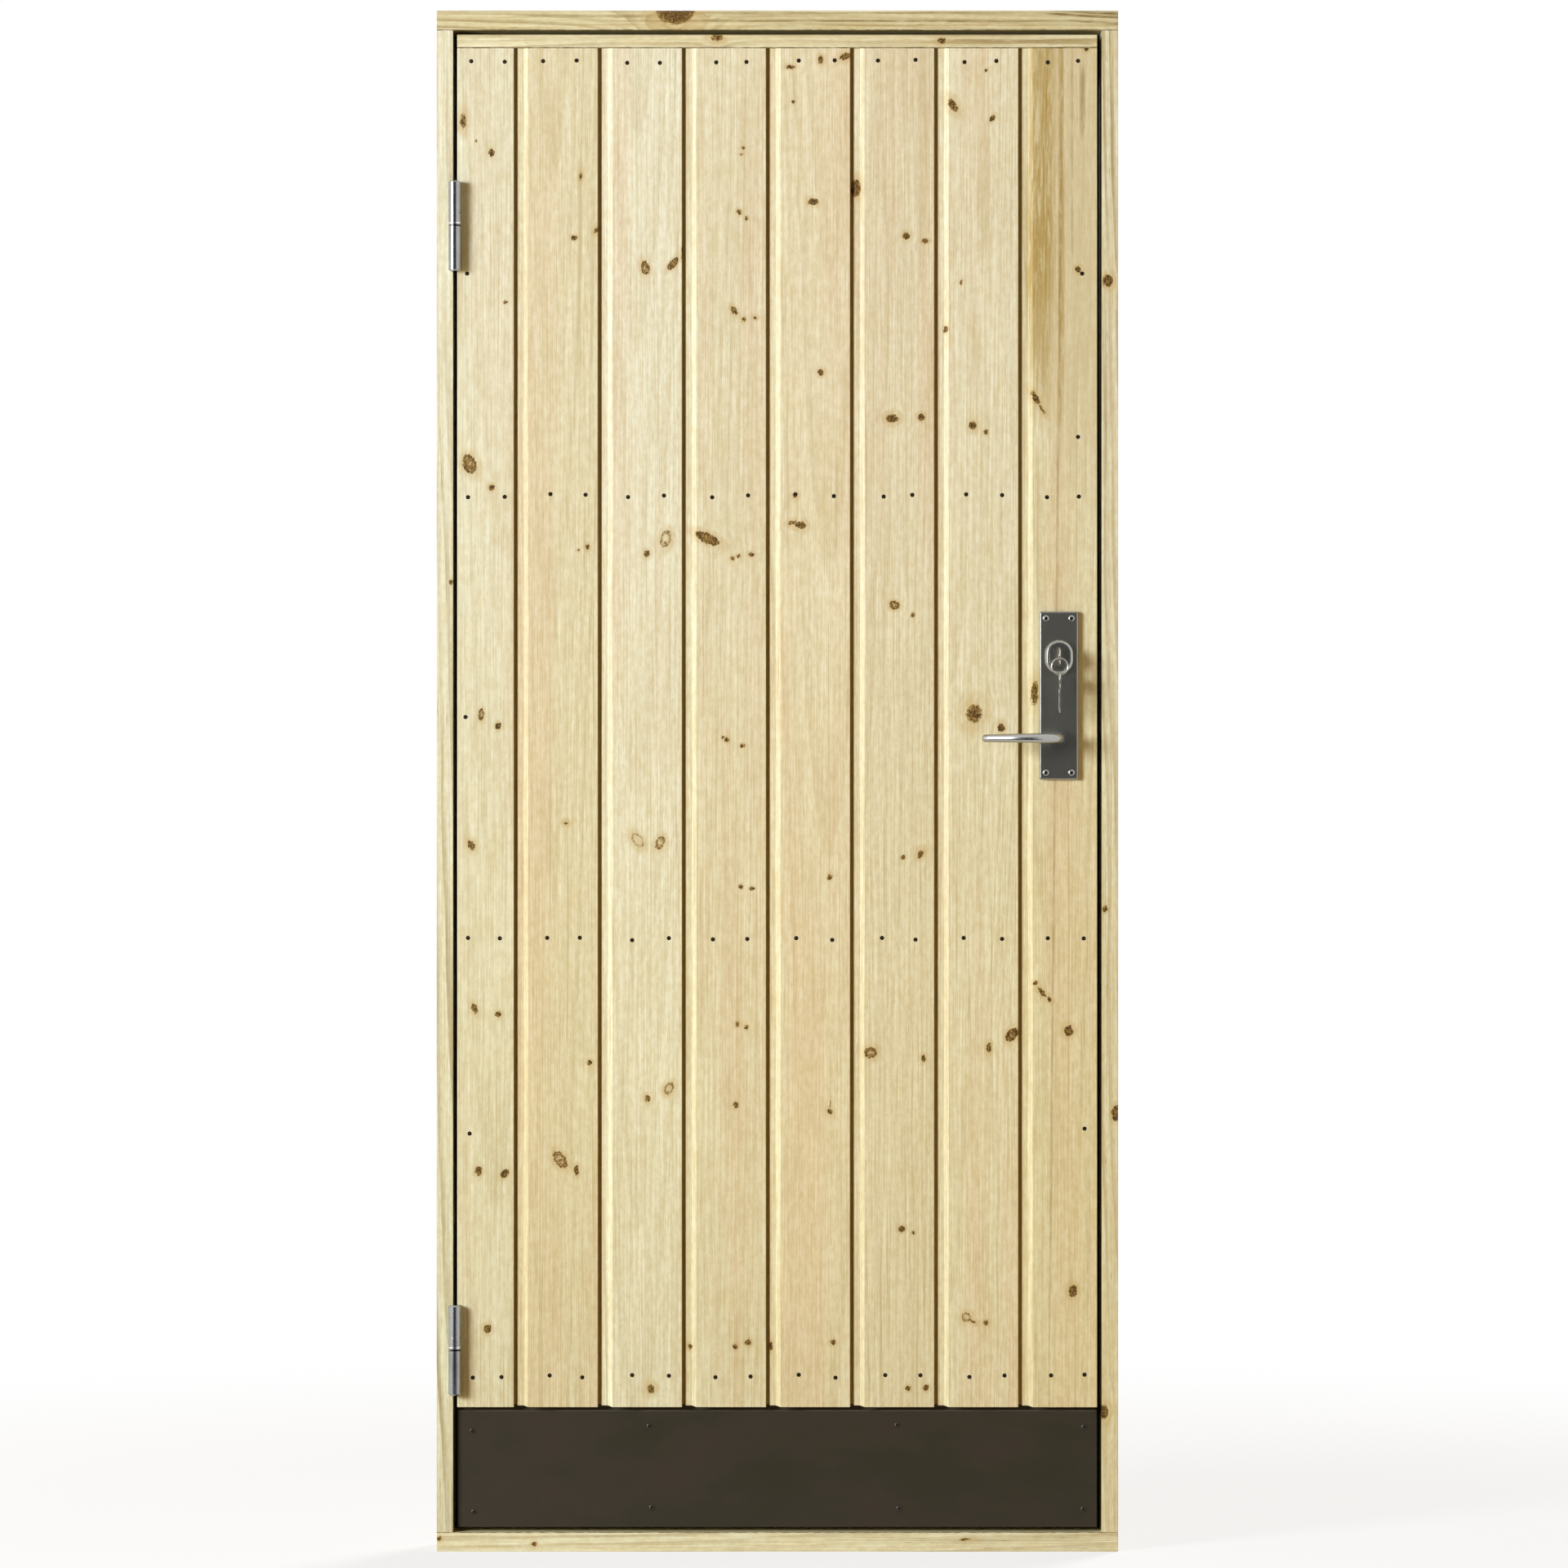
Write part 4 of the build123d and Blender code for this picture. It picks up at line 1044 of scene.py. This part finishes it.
def dress_all():
    random.seed(RANDOM_SEED)
    dress_wood()
    assign(plywood(), "kick_plate")
    # Painted highlight and painted shade at each hinge's split
    rings = []
    for name in ("upper_leaf_hinge", "lower_leaf_hinge"):
        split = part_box(name)[0][2]
        rings += [(split + rise, half_width, tone) for rise, half_width, tone in HINGE_RINGS]
    zinc = metal("zinc", ZINC, 0.17, brushed=(1, 1, 0.3), spots=0.7, darker=0.5, uneven=5.0,
                 rings=rings)
    stainless = metal("stainless", STAINLESS, 0.26, brushed=(1, 1, 0.03), spots=0.15, darker=0.88)
    plate = metal("plate_steel", PLATE_STEEL, 0.30, brushed=(1, 1, 0.03), spots=0.15, darker=0.88)
    nickel = metal("nickel", NICKEL, 0.22)
    dull = metal("dull_steel", DULL_STEEL, 0.4, brushed=(1, 1, 0.2), spots=0.4)
    nail = dark_nail_and_shade()
    assign(zinc, "upper_frame_hinge", "lower_frame_hinge", "upper_leaf_hinge", "lower_leaf_hinge")
    assign(dull, "strike_plate", "lock_case", "latch_bolt", "dead_bolt", "spindle")
    assign(plate, "outer_plate", "inner_plate")
    assign(stainless, "cylinder_ring", "thumb_turn", "outer_lever", "inner_lever")
    assign(nickel, "cylinder", "key", "key_ring", "spare_key")
    soften(FRAME_EASE, "left_jamb", "right_jamb", "head_jamb", "sill", "top_strip", "kick_plate")
    soften(BOARD_EASE, *BOARDS)
    soften(METAL_EASE, "outer_plate", "inner_plate", "cylinder_ring", "thumb_turn", "key",
           "spare_key")
    add_nails(nail)
    add_gap_shade_seal(gap_shade_rubber())
    add_kick_screws(metal("dark_screws", DARK_SCREW, 0.45), nail)
    add_plate_screws(stainless, nail)
    add_hinge_screws(zinc, nail)


# What the walls and the floor of the studio throw back onto the door, warm as the photo's
# shadows are
FILL_COLOUR = (0.19, 0.11, 0.033, 1)
FLOOR_BOUNCE = (0.58, 0.43, 0.22, 1)

# The floor as it is seen: half its side, and the distances between which it fades to white
FLOOR_HALF = 14.0
FLOOR_COLOUR = (0.82, 0.82, 0.81, 1)
FLOOR_FADE = (0.9, 2.8, 0.76, 1.0)


def add_sheet(name, corners, material):
    """A sheet of separate flat rectangles, four corners each."""
    mesh = bpy.data.meshes.new(name)
    mesh.from_pydata(corners, [], [range(first, first + 4) for first in range(0, len(corners), 4)])
    mesh.materials.append(material)
    sheet = bpy.data.objects.new(name, mesh)
    bpy.context.scene.collection.objects.link(sheet)
    return sheet


def mixed_shaders(n, factor, first, second):
    both = n.add("MixShader")
    n.put(both.inputs[0], factor)
    n.put(both.inputs[1], first.outputs[0])
    n.put(both.inputs[2], second.outputs[0])
    return both.outputs[0]


def add_floor():
    """A plain pale floor that turns to white away from the door."""
    material, n = empty_material("floor")
    seen = n.seen_directly()
    length = n.add("VectorMath", operation="LENGTH")
    n.put(length.inputs[0], n.place())
    fade = n.ramp(length.outputs["Value"], *FLOOR_FADE)
    diffuse = n.add("BsdfDiffuse")
    n.put(diffuse.inputs["Color"], n.mix(seen, FLOOR_BOUNCE, FLOOR_COLOUR))
    white = n.add("Emission")
    white.inputs["Color"].default_value = WHITE
    n.surface(mixed_shaders(n, n.math("MULTIPLY", fade, seen), diffuse, white))
    half = FLOOR_HALF
    corners = [(-half, -half, 0), (half, -half, 0), (half, half, 0), (-half, half, 0)]
    floor = add_sheet("floor", corners, material)


# Dark cards, only for what metal reflects: one behind the camera, and one on the floor before
# the door
CARD_SHADE = (0.06, 0.06, 0.06, 1)
CARD_BEHIND = [(-4.6, -9, -1), (5.0, -9, -1), (5.0, -9, 4.0), (-4.6, -9, 4.0)]
CARD_BELOW = [(-1.9, -9, 0.004), (1.6, -9, 0.004), (1.6, -1.1, 0.004), (-1.9, -1.1, 0.004)]


def add_dark_card():
    """The dark cards, which only glossy rays see."""
    material, n = empty_material("dark_card")
    shade = n.add("Emission")
    shade.inputs["Color"].default_value = CARD_SHADE
    glossy = n.add("LightPath").outputs["Is Glossy Ray"]
    n.surface(mixed_shaders(n, glossy, n.add("BsdfTransparent"), shade))
    card = add_sheet("dark_card", CARD_BEHIND + CARD_BELOW, material)


def add_world():
    """White where it is seen, and a warm fill on everything else."""
    world = bpy.data.worlds.new("studio")
    world.use_nodes = True
    world.node_tree.nodes.clear()
    n = Nodes(world.node_tree)
    back = n.add("Background")
    n.put(back.inputs["Color"], n.mix(n.seen_directly(), FILL_COLOUR, WHITE))
    n.put(n.add("OutputWorld").inputs["Surface"], back.outputs[0])
    bpy.context.scene.world = world


# Lamps: azimuth 0 is in front of the door and negative to its left, in degrees
KEY_POWER = 580
KEY_COLOUR = (0.970, 1.010, 1.070)
KEY_SIZE = 2.4
KEY_DISTANCE = 7.0
KEY_AZIMUTH = -47
KEY_HEIGHT = 2.1
KEY_AIM_HEIGHT = 1.0
BACK_STRENGTH = 2.7
BACK_AZIMUTH = 150
BACK_ELEVATION = 35
BACK_SIZE = 20


def add_lamp(name, lamp, place, aim):
    """A lamp at place that shines at aim."""
    item = bpy.data.objects.new(name, lamp)
    item.location = place
    item.rotation_euler = (place - aim).to_track_quat("Z", "Y").to_euler()
    bpy.context.scene.collection.objects.link(item)


def add_key():
    """A large soft box to the left front, level with the top of the door."""
    lamp = bpy.data.lights.new("key", "AREA")
    lamp.shape = "DISK"
    lamp.size = KEY_SIZE
    lamp.energy = KEY_POWER
    lamp.color = KEY_COLOUR
    a = math.radians(KEY_AZIMUTH)
    place = Vector((math.sin(a) * KEY_DISTANCE, -math.cos(a) * KEY_DISTANCE, KEY_HEIGHT))
    add_lamp("key", lamp, place, Vector((0, 0, KEY_AIM_HEIGHT)))


def add_back_light():
    """A soft sun from behind on the right, for views of the back."""
    lamp = bpy.data.lights.new("back", "SUN")
    lamp.energy = BACK_STRENGTH
    lamp.angle = math.radians(BACK_SIZE)
    a, e = math.radians(BACK_AZIMUTH), math.radians(BACK_ELEVATION)
    towards = Vector((math.sin(a) * math.cos(e), -math.cos(a) * math.cos(e), math.sin(e)))
    add_lamp("back", lamp, towards, Vector((0, 0, 0)))


CAMERA_DISTANCE = 8.0
SENSOR_WIDTH = 36.0
CAMERA_CLIP_END = 60


def add_camera():
    """Straight on, with a long lens."""
    x, z = from_photo(PHOTO_SIZE / 2, PHOTO_SIZE / 2)
    lens = bpy.data.cameras.new("camera")
    lens.sensor_width = SENSOR_WIDTH
    lens.lens = SENSOR_WIDTH * CAMERA_DISTANCE / (PHOTO_SIZE * PIXEL)
    lens.clip_end = CAMERA_CLIP_END
    camera = bpy.data.objects.new("camera", lens)
    camera.location = (x, FRONT_Y - CAMERA_DISTANCE, z)
    camera.rotation_euler = (math.radians(90), 0, 0)
    bpy.context.scene.collection.objects.link(camera)
    bpy.context.scene.camera = camera


dress_all()
add_floor()
add_dark_card()
add_world()
add_key()
add_back_light()
add_camera()
bpy.context.scene.view_settings.view_transform = "Standard"
